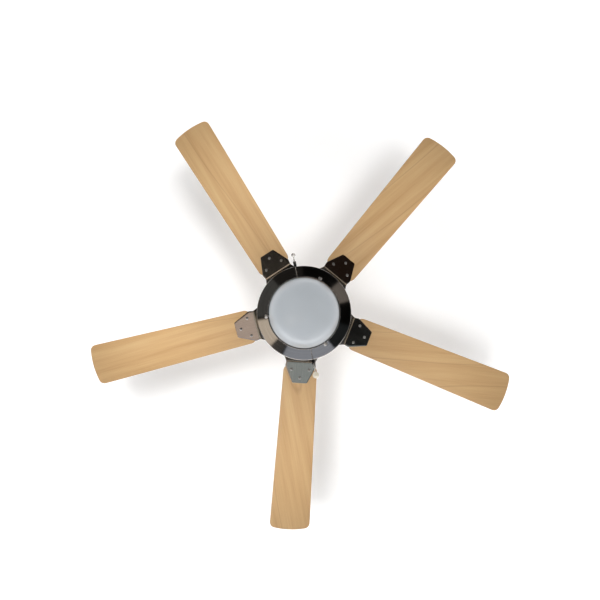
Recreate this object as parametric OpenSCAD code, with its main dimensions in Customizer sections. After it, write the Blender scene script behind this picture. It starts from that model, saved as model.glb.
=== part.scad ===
// Five-blade ceiling fan with a bowl light, hung on a short rod.
// Origin: centre of the ceiling plate, on the ceiling. +Z is up, so the whole fan lies below zero.

/* [Ceiling bracket] */
// Diameter of the bracket's top plate
plate_d = 124; // [116:1:140]
// Thickness of the bracket's sheet steel
bracket_t = 2.5; // [2:0.1:3]
// Distance between the two slots for the outlet-box screws
slot_spacing = 88.9; // [80:0.1:96]
// End-to-end length of each slot
slot_l = 12; // [8:0.5:15]
// Width of each slot
slot_w = 5.2; // [4.5:0.1:6]
// Width of the two legs and of the strap under the plate
leg_w = 36; // [28:1:40]
// Radius of the hanger ball
ball_r = 24; // [22:0.5:27]
// Depth of the ball's centre below the ceiling
ball_drop = 32; // [30:1:40]
// Height of the seat collar that holds the ball
seat_h = 10; // [8:1:12]
// Gap between the ball and its seat
seat_gap = 0.3; // [0.2:0.05:0.5]
// Largest swing of the fan on its ball, each way, in degrees
swing_max = 7; // [4:0.5:8]

/* [Canopy] */
// Gap between the bracket's legs and the canopy's inside
canopy_gap = 1.6; // [1:0.1:4]
// Thickness of the canopy's wall
canopy_wall = 1.2; // [1:0.1:2]
// Height of the canopy
canopy_h = 76; // [72:1:100]
// Gap between the canopy's rim and the ceiling
canopy_rim_gap = 1; // [0.5:0.5:3]
// Depth of the canopy's screws below the ceiling
canopy_screw_drop = 20; // [15:1:30]

/* [Downrod] */
// Outer diameter of the rod
rod_d = 21.3; // [18:0.1:27]
// Wall of the rod
rod_wall = 2.4; // [2:0.1:3]
// Length of the rod
rod_len = 132; // [110:1:600]
// Height of the rod's top end above the ball's centre
rod_above_ball = 12; // [8:1:15]
// Radius of the two cross pins
pin_r = 3; // [2.5:0.1:3.5]

/* [Yoke and coupling cover] */
// Outer radius of the yoke's collar
yoke_r = 19; // [17:0.5:24]
// Height of the yoke's collar
yoke_h = 30; // [26:1:40]
// Radius of the yoke's flange
yoke_flange_r = 34; // [32:1:44]
// Thickness of the yoke's flange
yoke_flange_t = 5; // [4:0.5:8]
// Radius of the coupling cover at its lower edge
cover_r = 50; // [46:1:60]
// Height of the coupling cover
cover_h = 43; // [40:1:60]

/* [Motor] */
// Diameter of the motor housing
housing_d = 272; // [260:1:330]
// Height of the motor housing
housing_h = 84; // [80:1:120]
// Height of the upper housing's dome
dome_h = 34; // [25:1:50]
// Thickness of the housing's sheet
shell_t = 1.5; // [1:0.1:2.5]
// Radius of the stator
stator_r = 72.5; // [60:0.5:85]
// Height of the stator's and rotor's laminations
stack_h = 18; // [12:1:25]
// Gap between the stator and the rotor
air_gap = 0.5; // [0.4:0.1:1]
// Width of the rotor's lamination ring
rotor_w = 19; // [15:1:22]
// Radius of the hollow shaft
shaft_r = 7.5; // [7:0.1:9]
// Radius of the shaft's wire channel
shaft_bore_r = 4; // [3.5:0.1:5]
// Outer radius of the bearings
bearing_r = 17.5; // [16:0.5:20]
// Width of the bearings
bearing_w = 9; // [8:0.5:12]
// Thickness of the end bells' webs
web_t = 4; // [3:0.5:6]
// Height of the iron pads under the lower bell
pad_h = 13; // [11:0.5:18]

/* [Blades] */
// Sweep from tip to tip
sweep_d = 1320; // [1060:10:1580]
// Width of a blade at its tip
tip_w = 122; // [100:1:140]
// Width of a blade at its root
root_w = 103; // [98:1:120]
// Thickness of a blade
blade_t = 6; // [5:0.5:8]
// Pitch of the blades, in degrees
pitch = 4; // [3:0.5:14]
// Radius of the tip's arc
tip_arc_r = 250; // [120:5:400]
// Radius of the tip's two corners
tip_corner_r = 17; // [8:1:30]
// Radius of the root's two corners
root_corner_r = 20; // [15:1:40]
// Direction of the first blade, in degrees about Z
first_blade_az = 32.6; // [0:0.1:72]

/* [Blade irons] */
// Thickness of the irons' steel
iron_t = 2.5; // [2:0.1:3.5]
// Distance from the switch housing's wall to the fold
fold_gap = 20; // [18:1:40]
// Half the plate's width at the fold
fold_hw = 44; // [40:1:48]
// Half the plate's greatest width
plate_hw = 46.5; // [44:0.5:50]
// Half the plate's width at its outer end
end_hw = 22.5; // [18:0.5:28]
// Length of the plate beyond the fold
plate_l = 65; // [60:1:76]
// Drop of the plate's face from the pads to the fold
iron_drop = 16; // [14:1:26]
// Half the flare's width, inside the fold
flare_hw = 55; // [48:1:58]
// Half the flange's width, under the pads
flange_hw = 34; // [30:1:36]

/* [Switch housing] */
// Diameter of the switch housing
switch_d = 256; // [220:1:270]
// Height of the switch housing
switch_h = 63; // [58:1:90]
// Depth of the switch housing's top below the blades' centre plane
switch_drop = 11; // [10:0.5:20]
// Height of the sleeves that the housing's wall is screwed to
sleeve_h = 14; // [12:1:18]
// Depth of the chain switches below the housing's top
chain_switch_drop = 33; // [30:1:40]
// Travel of the reversing switch
reverse_travel = 6; // [4:0.5:8]

/* [Light] */
// How far the metal ring stands out past the switch housing
ring_overhang = 8; // [2:0.5:16]
// Height of the ring's cone
cone_h = 8; // [6:0.5:14]
// Diameter of the glass bowl
glass_d = 200; // [160:1:206]
// Depth of the bowl's dome
glass_depth = 66; // [60:1:90]
// Thickness of the glass
glass_t = 3; // [2.5:0.1:4]
// Height of the collar that holds the glass
collar_h = 10; // [9:0.5:14]
// Gap between the glass and the collar
collar_gap = 3.5; // [2.5:0.1:5]
// Travel of the thumbscrews
thumb_travel = 3.5; // [3:0.1:5]
// Direction of the first thumbscrew, in degrees about Z
first_thumb_az = 65.7; // [60:0.1:70]

/* [Pull chains] */
// Diameter of the chain's beads
chain_d = 3.2; // [2.4:0.1:3.6]
// Distance from the housing's wall to the chain
nozzle_reach = 21; // [18:1:30]
// Length of the nozzle's spout
spout_l = 16; // [15:1:24]
// Length of the speed chain below its nozzle
speed_chain_l = 158; // [100:1:400]
// Length of the light chain below its nozzle
light_chain_l = 232; // [100:1:400]
// Travel of the pull chains
pull_travel = 12; // [8:1:13]
// Length of the light chain's pendant
pendant_l = 26; // [20:1:40]
// Radius of the light chain's pendant
pendant_r = 7.5; // [4:0.5:9]
// Radius of the ball on the speed chain
end_ball_r = 5.5; // [3:0.5:7]

/* [Hidden] */
$fn = 96;
blade_count = 5;
blade_step = 360 / blade_count;
slide_gap = 0.1;
thread_gap = 0.05;
ball_z = -ball_drop;
leg_r = plate_d / 2 + 0.5;
leg_corner_r = sqrt(leg_r * leg_r + leg_w * leg_w / 4);
canopy_in_r = leg_corner_r + canopy_gap;
canopy_r = canopy_in_r + canopy_wall;
seat_top_z = ball_z - 4;
seat_z = seat_top_z - seat_h;
canopy_z = -canopy_h;
rod_r = rod_d / 2;
rod_top_z = ball_z + rod_above_ball;
rod_z = rod_top_z - rod_len;
canopy_hole_r = rod_r / cos(swing_max) + (canopy_h - ball_drop) * tan(swing_max) + 0.9;
// The clevis pin crosses the rod this far above its lower end.
clevis_above = 12;
clevis_z = rod_z + clevis_above;
yoke_floor_z = rod_z - 1;
yoke_top_z = yoke_floor_z - 3 + yoke_h;
flange_top_z = yoke_floor_z - 3;
housing_top_z = flange_top_z - yoke_flange_t;
housing_r = housing_d / 2;
housing_z = housing_top_z - housing_h;
dome_z = housing_top_z - dome_h;
pads_z = housing_z - 3;
bell_low_z = pads_z + pad_h;
rotor_in_r = stator_r + air_gap;
rotor_r = rotor_in_r + rotor_w;
rim_w = 8;
rim_h = 16;
stack_low_z = bell_low_z + web_t + rim_h - 4;
stack_top_z = stack_low_z + stack_h;
bell_top_z = stack_top_z + rim_h;
pad_in_r = rotor_r - 22;
pad_out_r = rotor_r + 6;
iron_screw_r = (pad_in_r + pad_out_r) / 2 - 1;
iron_screw_y = 18;
blade_z = pads_z - iron_drop + blade_t / 2;
fold_r = switch_d / 2 + fold_gap;
blade_root_r = fold_r + 10;
blade_tip_r = sweep_d / 2;
blade_screws = [[fold_r + 23.5, 27.1], [fold_r + 23.5, -27.1], [fold_r + 49, 0]];
switch_r = switch_d / 2;
switch_top_z = blade_z - switch_drop;
switch_z = switch_top_z - switch_h;
sheet_t = 1.5;
sleeve_r = switch_r - sheet_t - 0.2;
side_screw_inset = 6;
chain_z = switch_top_z - chain_switch_drop;
chain_r = switch_r + nozzle_reach;
elbow_r = 8;
nozzle_r = 4.5;
nozzle_bore_r = 2.6;
mouth_z = chain_z - elbow_r - spout_l;
chain_top_z = mouth_z + pull_travel + 1.5;
ring_r = switch_r + ring_overhang;
ring_top_z = switch_z - 0.5;
collar_in_r = glass_d / 2 - 1 + collar_gap;
collar_r = collar_in_r + sheet_t;
pan_z = ring_top_z - 2 - cone_h;
collar_z = pan_z - collar_h;
glass_neck_r = glass_d / 2 - 1;
glass_top_z = pan_z - 1;
glass_dome_z = collar_z - 1;
glass_z = glass_dome_z - glass_depth;
thumb_z = pan_z - 5.6;
thumb_r = 2;
lamp_z = glass_dome_z - 18;
tongue_w = 3;
tongue_depth = 2.5;
wire_r = 0.9;
// The wires pass on both sides of the cross pins, which lie along Y.
wire_turns = [0, 155, 205];
shaft_z = switch_top_z - 16;
race_t = 3;
bearing_zs = [bell_low_z - bearing_w, bell_top_z + web_t];
ball_count = 9;
side_screw_azs = [45, 165, 285];
thumb_azs = [for (i = [0 : 2]) first_thumb_az + 120 * i];
holder_x = 14;
holder_l = 26;
holder_r = 13;
steel = "silver";
chrome = "lightslategray";

// A ring or washer between two radii.
module ring(r_out, r_in, h) {
    difference() {
        cylinder(r = r_out, h = h);
        translate([0, 0, -1])
            cylinder(r = r_in, h = h + 2);
    }
}

// A pan-head screw: its head stands on z = 0 and its shank runs down.
module pan_screw(shank_r, shank_l, head_r, head_h) {
    translate([0, 0, -shank_l])
        cylinder(r = shank_r, h = shank_l + 0.01);
    difference() {
        cylinder(r = head_r, h = head_h);
        for (turn = [0, 90])
            rotate([0, 0, turn])
                translate([-head_r * 0.6, -head_h * 0.15, head_h * 0.5])
                    cube([head_r * 1.2, head_h * 0.3, head_h]);
    }
}

// Turns a piece that points up so that it points outward along +X.
module outward() {
    rotate([0, 90, 0])
        children();
}

// ---- Ceiling bracket and canopy -----------------------------------------------------------

module hanger_bracket() {
    slot_straight = slot_l - slot_w;
    color(steel)
    difference() {
        union() {
            difference() {
                translate([0, 0, -bracket_t])
                    cylinder(r = plate_d / 2, h = bracket_t);
                translate([0, 0, -bracket_t - 1])
                    cylinder(r = ball_r + 2, h = bracket_t + 2);
            }
            for (side = [-1, 1])
                translate([-leg_w / 2, side > 0 ? leg_r - bracket_t : -leg_r, seat_z])
                    cube([leg_w, bracket_t, -seat_z]);
            translate([-leg_w / 2, -leg_r, seat_z])
                cube([leg_w, leg_r * 2, bracket_t]);
            translate([0, 0, seat_z])
                cylinder(r = ball_r + 5, h = seat_h);
        }
        translate([0, 0, ball_z])
            sphere(r = ball_r + seat_gap);
        translate([0, -rod_r - 1.5, seat_z - 1])
            cube([ball_r + 10, rod_r * 2 + 3, seat_h + 2]);
        for (side = [-1, 1]) {
            for (end = [-1, 1])
                translate([side * slot_spacing / 2 + end * slot_straight / 2, 0, -bracket_t - 1])
                    cylinder(r = slot_w / 2, h = bracket_t + 2);
            translate([side * slot_spacing / 2 - slot_straight / 2, -slot_w / 2, -bracket_t - 1])
                cube([slot_straight, slot_w, bracket_t + 2]);
            rotate([0, 0, side * 90])
                translate([leg_r - bracket_t - 1, 0, -canopy_screw_drop])
                    outward()
                        cylinder(r = thumb_r + thread_gap, h = bracket_t + 2);
        }
    }
    // Tongue that keeps the ball from turning.
    color(steel)
    translate([-ball_r - 2, -tongue_w / 2, seat_z + 2])
        cube([tongue_depth + 2, tongue_w, seat_h - 3]);
}

module canopy() {
    bend_z = seat_z - 3;
    curve_h = canopy_h + bend_z;
    color(chrome)
    difference() {
        union() {
            translate([0, 0, bend_z])
                cylinder(r = canopy_r, h = -canopy_rim_gap - bend_z);
            canopy_dome(canopy_r, bend_z, curve_h);
        }
        translate([0, 0, bend_z])
            cylinder(r = canopy_in_r, h = -bend_z);
        canopy_dome(canopy_in_r, bend_z, curve_h - canopy_wall);
        translate([0, 0, canopy_z - 5])
            cylinder(r = canopy_hole_r, h = canopy_h);
        for (turn = [-90, 90])
            rotate([0, 0, turn])
                translate([canopy_in_r - 3, 0, -canopy_screw_drop])
                    outward()
                        cylinder(r = thumb_r + 0.4, h = canopy_wall + 6);
    }
}

// The canopy's rounded underside: the lower quarter of an ellipse, turned about Z.
module canopy_dome(r, top_z, h) {
    steps = 16;
    outline = [for (i = [0 : steps]) [r * cos(i * 90 / steps), top_z - h * sin(i * 90 / steps)]];
    rotate_extrude()
        polygon(concat([[0, top_z + 0.01], [r, top_z + 0.01]], outline));
}

module canopy_screws() {
    color(steel)
    for (turn = [-90, 90])
        rotate([0, 0, turn])
            translate([canopy_r + 0.3, 0, -canopy_screw_drop])
                outward()
                    pan_screw(thumb_r, canopy_r - leg_r + bracket_t + 2, 4, 2.4);
}

// ---- Ball, rod and yoke -------------------------------------------------------------------

module hanger_ball() {
    flat_top = 17;
    flat_bottom = 20;
    color("dimgray")
    difference() {
        intersection() {
            translate([0, 0, ball_z])
                sphere(r = ball_r);
            translate([0, 0, ball_z - flat_bottom])
                cylinder(r = ball_r + 1, h = flat_top + flat_bottom);
        }
        translate([0, 0, ball_z - ball_r - 1])
            cylinder(r = rod_r + slide_gap, h = 2 * ball_r + 2);
        translate([0, 0, ball_z + 4])
            rotate([90, 0, 0])
                cylinder(r = pin_r + slide_gap, h = 2 * ball_r + 2, center = true);
        translate([-ball_r - 1, -tongue_w / 2 - 0.6, ball_z - ball_r])
            cube([tongue_depth + 2.5, tongue_w + 1.2, 2 * ball_r]);
    }
}

module ball_pin() {
    color(steel)
    translate([0, 0, ball_z + 4])
        rotate([90, 0, 0])
            cylinder(r = pin_r, h = 2 * ball_r - 8, center = true);
}

module downrod() {
    color(chrome)
    difference() {
        translate([0, 0, rod_z])
            cylinder(r = rod_r, h = rod_len);
        translate([0, 0, rod_z - 1])
            cylinder(r = rod_r - rod_wall, h = rod_len + 2);
        for (z = [ball_z + 4, clevis_z])
            translate([0, 0, z])
                rotate([90, 0, 0])
                    cylinder(r = pin_r + slide_gap, h = rod_d + 2, center = true);
    }
}

// Points along the rod and the shaft, then out to one side over the ball.
function wire_route(turn) = [
    for (p = [[2.4, switch_top_z - 22], [2.4, rod_z], [5.4, rod_z + 10], [5.4, rod_top_z - 8],
              [5.4, rod_top_z + 3], [6.6, rod_top_z + 7], [9, rod_top_z + 9.6], [11, rod_top_z + 10],
              [14, rod_top_z + 10]])
        [p[0] * cos(turn), p[0] * sin(turn), p[1]]
];

// A round tube with a ring of points around each point of a route in one upright plane.
module swept_tube(route, r, sides, plane_az) {
    n = len(route);
    side_dir = [-sin(plane_az), cos(plane_az), 0];
    rings = [
        for (i = [0 : n - 1])
            let (a = route[max(i - 1, 0)], b = route[min(i + 1, n - 1)], d = (b - a) / norm(b - a),
                 up = cross(d, side_dir))
                for (k = [0 : sides - 1])
                    route[i] + r * (cos(k * 360 / sides) * side_dir + sin(k * 360 / sides) * up)
    ];
    walls = [
        for (i = [0 : n - 2])
            for (k = [0 : sides - 1])
                let (m = (k + 1) % sides)
                    [i * sides + k, (i + 1) * sides + k, (i + 1) * sides + m, i * sides + m]
    ];
    caps = [[for (k = [0 : sides - 1]) k], [for (k = [sides - 1 : -1 : 0]) (n - 1) * sides + k]];
    polyhedron(points = rings, faces = concat(walls, caps));
}

module lead_wires() {
    colours = ["black", "white", "royalblue"];
    for (i = [0 : 2])
        color(colours[i])
        swept_tube(wire_route(wire_turns[i]), wire_r, 8, wire_turns[i]);
}

module wire_nuts() {
    color("orange")
    for (turn = wire_turns)
        rotate([0, 0, turn])
            translate([14.1, 0, rod_top_z + 10])
                outward()
                    union() {
                        cylinder(r = 3.6, h = 9);
                        translate([0, 0, 9])
                            cylinder(r1 = 3.6, r2 = 2.2, h = 4);
                    }
}

module coupling_cover() {
    steps = 14;
    top_r = rod_r + 3;
    outer = [for (i = [0 : steps]) let (t = i * 90 / steps)
        [top_r + (cover_r - top_r) * sin(t), housing_top_z + cover_h * cos(t)]];
    inner = [for (i = [steps : -1 : 0]) let (t = i * 90 / steps)
        [top_r + (cover_r - shell_t - top_r) * sin(t), housing_top_z + (cover_h - shell_t) * cos(t)]];
    color(chrome)
    rotate_extrude()
        polygon(concat(outer, inner));
}

module yoke() {
    color("gray")
    difference() {
        union() {
            translate([0, 0, flange_top_z])
                cylinder(r = yoke_r, h = yoke_h);
            translate([0, 0, housing_top_z])
                cylinder(r = yoke_flange_r, h = yoke_flange_t);
        }
        translate([0, 0, yoke_floor_z])
            cylinder(r = rod_r + slide_gap, h = yoke_h + 1);
        translate([0, 0, housing_top_z - 1])
            cylinder(r = shaft_r + slide_gap, h = yoke_flange_t + 6);
        translate([0, 0, clevis_z])
            rotate([90, 0, 0])
                cylinder(r = pin_r + slide_gap, h = 2 * yoke_r + 2, center = true);
        for (turn = [0, 180])
            rotate([0, 0, turn])
                translate([rod_r - 1, 0, yoke_top_z - 5])
                    outward()
                        cylinder(r = 2.5 + thread_gap, h = yoke_r);
        for (i = [0 : 2])
            rotate([0, 0, 60 + 120 * i])
                translate([yoke_flange_r - 6, 0, housing_top_z - 1])
                    cylinder(r = 2.2, h = yoke_flange_t + 2);
    }
}

module clevis_pin() {
    color(steel)
    translate([0, 0, clevis_z])
        rotate([90, 0, 0])
            difference() {
                union() {
                    translate([0, 0, -yoke_r - 6])
                        cylinder(r = pin_r, h = 2 * yoke_r + 6.6);
                    translate([0, 0, yoke_r + 0.5])
                        cylinder(r = pin_r + 2, h = 2);
                }
                translate([0, 0, -yoke_r - 3.5])
                    rotate([90, 0, 0])
                        cylinder(r = 0.95, h = 4 * pin_r, center = true);
            }
}

module cotter_pin() {
    wire = 0.85;
    color(steel)
    translate([0, yoke_r + 3.5, clevis_z]) {
        cylinder(r = wire, h = 14, center = true);
        translate([-3, 0, 7])
            rotate([90, 0, 0])
                rotate_extrude(angle = 180)
                    translate([3, 0])
                        circle(r = wire);
        translate([-6, 0, pin_r - 3])
            cylinder(r = wire, h = 7.01);
    }
}

module yoke_screws() {
    color(steel)
    for (turn = [0, 180])
        rotate([0, 0, turn])
            translate([rod_r + 0.05, 0, yoke_top_z - 5])
                outward()
                    difference() {
                        cylinder(r = 2.5, h = yoke_r - rod_r);
                        translate([-3, -0.4, yoke_r - rod_r - 1])
                            cube([6, 0.8, 2]);
                    }
}

// ---- Motor: what stands still ------------------------------------------------------------

module shaft() {
    color("darkgray")
    translate([0, 0, shaft_z])
        ring(shaft_r, shaft_bore_r, yoke_floor_z - 0.5 - shaft_z);
}

module shaft_nut() {
    color(steel)
    translate([0, 0, switch_top_z - 2 - 8])
        difference() {
            cylinder(r = 14, h = 8, $fn = 6);
            translate([0, 0, -1])
                cylinder(r = shaft_r + thread_gap, h = 10);
        }
}

module bearing_inner_rings() {
    color(steel)
    for (z = bearing_zs)
        translate([0, 0, z])
            ring(shaft_r + thread_gap + race_t, shaft_r + thread_gap, bearing_w);
}

// The outer rings turn with the end bells, and the balls run in them.
module bearing_outer_rings() {
    in_r = shaft_r + thread_gap + race_t;
    out_r = bearing_r - race_t;
    color(steel)
    for (z = bearing_zs)
        translate([0, 0, z]) {
            ring(bearing_r, out_r, bearing_w);
            for (i = [0 : ball_count - 1])
                rotate([0, 0, i * 360 / ball_count])
                    translate([(in_r + out_r) / 2, 0, bearing_w / 2])
                        sphere(r = (out_r - in_r) / 2 - 0.05);
        }
}

module stator_core() {
    slots = 16;
    slot_in_r = stator_r * 0.52;
    color("slategray")
    translate([0, 0, stack_low_z])
        difference() {
            ring(stator_r, shaft_r + thread_gap, stack_h);
            for (i = [0 : slots - 1])
                rotate([0, 0, i * 360 / slots])
                    translate([slot_in_r, -2.5, -1])
                        cube([stator_r * 0.42, 5, stack_h + 2]);
        }
}

module windings() {
    coil_r = 9;
    mid_r = stator_r * 0.73;
    color("chocolate")
    for (side = [0, 1])
        translate([0, 0, side ? stack_top_z : stack_low_z])
            rotate_extrude()
                intersection() {
                    translate([mid_r, 0])
                        circle(r = coil_r);
                    translate([mid_r - coil_r, side ? 0.05 : -coil_r - 0.05])
                        square([2 * coil_r, coil_r]);
                }
}

module motor_housing_upper() {
    steps = 18;
    flat_r = cover_r + 8;
    outer = [for (i = [0 : steps]) let (t = i * 90 / steps)
        [flat_r + (housing_r - flat_r) * sin(t), dome_z + dome_h * cos(t)]];
    inner = [for (i = [steps : -1 : 0]) let (t = i * 90 / steps)
        [flat_r + (housing_r - shell_t - flat_r) * sin(t), dome_z + (dome_h - shell_t) * cos(t)]];
    hole = [[shaft_r + 1, housing_top_z - shell_t], [shaft_r + 1, housing_top_z]];
    color(chrome)
    difference() {
        rotate_extrude()
            polygon(concat(outer, inner, hole));
        for (i = [0 : 2])
            rotate([0, 0, 60 + 120 * i])
                translate([yoke_flange_r - 6, 0, housing_top_z - 3])
                    cylinder(r = 2.05, h = 4);
    }
}

module motor_housing_lower() {
    lip_r = pad_out_r + 10;
    color(chrome)
    union() {
        translate([0, 0, housing_z])
            ring(housing_r, housing_r - shell_t, dome_z - housing_z);
        translate([0, 0, housing_z])
            ring(housing_r, lip_r, shell_t);
        // Inner lip that the dome's edge sits on.
        translate([0, 0, dome_z - 6])
            ring(housing_r - shell_t + 0.01, housing_r - 2 * shell_t, 5.9);
    }
}

module housing_screws() {
    color(steel)
    for (i = [0 : 2])
        rotate([0, 0, 60 + 120 * i])
            translate([yoke_flange_r - 6, 0, flange_top_z])
                pan_screw(2, yoke_flange_t + shell_t + 2, 3.8, 2.4);
}

// ---- Motor: what turns --------------------------------------------------------------------

module bell_web(z, hub_z) {
    difference() {
        union() {
            translate([0, 0, z])
                cylinder(r = rotor_r, h = web_t);
            translate([0, 0, hub_z])
                cylinder(r = bearing_r + 4.5, h = bearing_w + 0.01);
        }
        translate([0, 0, z - 20])
            cylinder(r = bearing_r, h = 60);
        for (i = [0 : 9])
            rotate([0, 0, i * 36 + 18])
                translate([(bearing_r + rotor_in_r) / 2, 0, z - 1])
                    cylinder(r = 8, h = web_t + 2);
    }
}

module bell_holes() {
    for (i = [0 : blade_count - 1])
        rotate([0, 0, first_blade_az + 36 + i * blade_step])
            translate([rotor_r - rim_w / 2, 0, bell_low_z + 2])
                cylinder(r = 2 + thread_gap, h = 80);
}

module rotor_core() {
    color("slategray")
    difference() {
        translate([0, 0, stack_low_z])
            ring(rotor_r, rotor_in_r, stack_h);
        bell_holes();
    }
}

module bell_upper() {
    color("gainsboro")
    difference() {
        union() {
            bell_web(bell_top_z, bell_top_z + web_t - 0.01);
            translate([0, 0, stack_top_z])
                ring(rotor_r, rotor_r - rim_w, bell_top_z - stack_top_z + 0.01);
        }
        bell_holes();
    }
}

module bell_lower() {
    color("gainsboro")
    difference() {
        union() {
            bell_web(bell_low_z, bell_low_z - bearing_w);
            translate([0, 0, bell_low_z + web_t - 0.01])
                ring(rotor_r, rotor_r - rim_w, stack_low_z - bell_low_z - web_t + 0.01);
            translate([0, 0, pads_z])
                ring(pad_out_r, pad_in_r, pad_h + 0.01);
            translate([0, 0, bell_low_z - 0.01])
                ring(pad_out_r, rotor_r - 1, web_t);
        }
        bell_holes();
        each_blade()
            for (side = [-1, 1])
                translate([iron_screw_r, side * iron_screw_y, pads_z - 1])
                    cylinder(r = 2.5 + thread_gap, h = pad_h - 1);
    }
}

module bell_screws() {
    color(steel)
    for (i = [0 : blade_count - 1])
        rotate([0, 0, first_blade_az + 36 + i * blade_step])
            translate([rotor_r - rim_w / 2, 0, bell_top_z + web_t])
                pan_screw(2, bell_top_z + web_t - bell_low_z - 3, 3.6, 2.2);
}

// Places its children at each blade's direction, pointing outward along +X.
module each_blade() {
    for (i = [0 : blade_count - 1])
        at_blade(i)
            children();
}

module at_blade(i) {
    rotate([0, 0, first_blade_az + i * blade_step])
        children();
}

// Turns its children by the blade's pitch about the blade's own axis.
module pitched(turn) {
    translate([0, 0, blade_z])
        rotate([-turn, 0, 0])
            children();
}

// The iron's four corners at radius r, top pair then bottom pair. From the pads (share 0) to the fold
// (share 1) the strip sinks to the blade's face and turns to the blade's pitch.
function iron_section(r, half_w, share) =
    let (turn = pitch * share, top = -blade_t / 2 * share, z = pads_z + (blade_z - pads_z) * share)
        [
            for (c = [[half_w, top], [-half_w, top], [-half_w, top - iron_t], [half_w, top - iron_t]])
                [r, c[0] * cos(turn) + c[1] * sin(turn), z - c[0] * sin(turn) + c[1] * cos(turn)]
        ];

// Joins a row of four-cornered sections into one closed solid.
module strip(sections) {
    last = 4 * (len(sections) - 1);
    sides = [
        for (k = [0 : len(sections) - 2], j = [0 : 3])
            let (a = 4 * k + j, b = 4 * k + (j + 1) % 4)
                each [[b + 4, b, a], [a + 4, b + 4, a]]
    ];
    polyhedron(
        points = [for (section = sections) each section],
        faces = concat([[0, 1, 2, 3]], sides, [[last + 3, last + 2, last + 1, last]])
    );
}

module iron(i) {
    flange_r = pad_out_r + 2;
    flare_r = fold_r - 22;
    color(chrome)
    at_blade(i)
        difference() {
            strip([
                iron_section(pad_in_r + 1, flange_hw, 0),
                iron_section(flange_r, flange_hw, 0),
                iron_section(flare_r, flare_hw, (flare_r - flange_r) / (fold_r - flange_r)),
                iron_section(fold_r, fold_hw, 1),
                iron_section(fold_r + 14, plate_hw, 1),
                iron_section(fold_r + plate_l, end_hw, 1)
            ]);
            for (side = [-1, 1])
                translate([iron_screw_r, side * iron_screw_y, pads_z - iron_t - 1])
                    cylinder(r = 2.8, h = iron_t + 2);
            pitched(pitch)
                for (p = blade_screws)
                    translate([p[0], p[1], -blade_t / 2 - iron_t - 1])
                        cylinder(r = 2.6, h = iron_t + 2);
        }
}

module blade_outline() {
    // A tapered board with an arc at its tip, its corners rounded, then its root's corners too.
    intersection() {
        offset(r = tip_corner_r, $fn = 32)
            offset(delta = -tip_corner_r)
                intersection() {
                    polygon([
                        [blade_root_r - 40, root_w / 2 - 1.5], [blade_tip_r, tip_w / 2],
                        [blade_tip_r, -tip_w / 2], [blade_root_r - 40, -root_w / 2 + 1.5]
                    ]);
                    union() {
                        translate([blade_tip_r - tip_arc_r, 0])
                            circle(r = tip_arc_r);
                        translate([0, -tip_w])
                            square([blade_tip_r - tip_arc_r, 2 * tip_w]);
                    }
                }
        union() {
            translate([blade_root_r + root_corner_r, -tip_w])
                square([blade_tip_r, 2 * tip_w]);
            offset(r = root_corner_r, $fn = 32)
                translate([blade_root_r + root_corner_r, -root_w / 2 + root_corner_r])
                    square([2 * root_corner_r, root_w - 2 * root_corner_r]);
        }
    }
}

module blade(i) {
    color("burlywood")
    at_blade(i)
        pitched(pitch)
            difference() {
                translate([0, 0, -blade_t / 2])
                    linear_extrude(blade_t)
                        blade_outline();
                for (p = blade_screws)
                    translate([p[0], p[1], -blade_t])
                        cylinder(r = 2 + thread_gap, h = blade_t * 1.5 - 1);
            }
}

module iron_screws() {
    color(steel)
    each_blade()
        for (side = [-1, 1])
            translate([iron_screw_r, side * iron_screw_y, pads_z - iron_t])
                rotate([180, 0, 0])
                    pan_screw(2.5, iron_t + pad_h - 4, 4.4, 3);
}

module blade_screws() {
    color(steel)
    each_blade()
        pitched(pitch)
            for (p = blade_screws)
                translate([p[0], p[1], -blade_t / 2 - iron_t])
                    rotate([180, 0, 0])
                        pan_screw(2, iron_t + blade_t - 2, 4.2, 2.2);
}

// ---- Switch housing -----------------------------------------------------------------------

module side_screw_holes(z, r) {
    for (az = side_screw_azs)
        rotate([0, 0, az])
            translate([switch_r - 8, 0, z])
                outward()
                    cylinder(r = r, h = 16);
}

module switch_plate() {
    color(steel)
    difference() {
        union() {
            translate([0, 0, switch_top_z - 2])
                cylinder(r = sleeve_r, h = 2);
            translate([0, 0, switch_top_z - sleeve_h])
                ring(sleeve_r, sleeve_r - sheet_t, sleeve_h - 1);
        }
        translate([0, 0, switch_top_z - 3])
            cylinder(r = shaft_r + slide_gap, h = 4);
        side_screw_holes(switch_top_z - side_screw_inset - 2, 2 + thread_gap);
    }
}

module switch_housing() {
    color(chrome)
    difference() {
        translate([0, 0, switch_z])
            ring(switch_r, switch_r - sheet_t, switch_h);
        for (z = [switch_top_z - side_screw_inset - 2, switch_z + side_screw_inset])
            side_screw_holes(z, 2.3);
        for (turn = [-90, 90])
            rotate([0, 0, turn])
                translate([switch_r - 8, 0, chain_z])
                    outward()
                        cylinder(r = 5, h = 16);
        translate([switch_r - 8, -3.5, chain_z - reverse_travel])
            cube([16, 7, 2 * reverse_travel]);
    }
}

module side_screws() {
    color(steel)
    for (z = [switch_top_z - side_screw_inset - 2, switch_z + side_screw_inset])
        for (az = side_screw_azs)
            rotate([0, 0, az])
                translate([switch_r + 0.1, 0, z])
                    outward()
                        pan_screw(2, 6, 3.8, 2.2);
}

module capacitor() {
    color([0.12, 0.12, 0.13])
    translate([-switch_r * 0.72, -24, switch_top_z - 44])
        cube([24, 48, 30]);
}

module chain_switches() {
    color("linen")
    for (turn = [-90, 90])
        rotate([0, 0, turn])
            difference() {
                union() {
                    translate([switch_r - sheet_t - 24, -11, chain_z - 9])
                        cube([21, 22, 18]);
                    translate([switch_r - sheet_t - 3.1, 0, chain_z])
                        outward()
                            cylinder(r = 4.8, h = 6.4);
                }
                translate([switch_r - sheet_t - 12, 0, chain_z])
                    outward()
                        cylinder(r = nozzle_bore_r, h = 20);
            }
}

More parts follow.
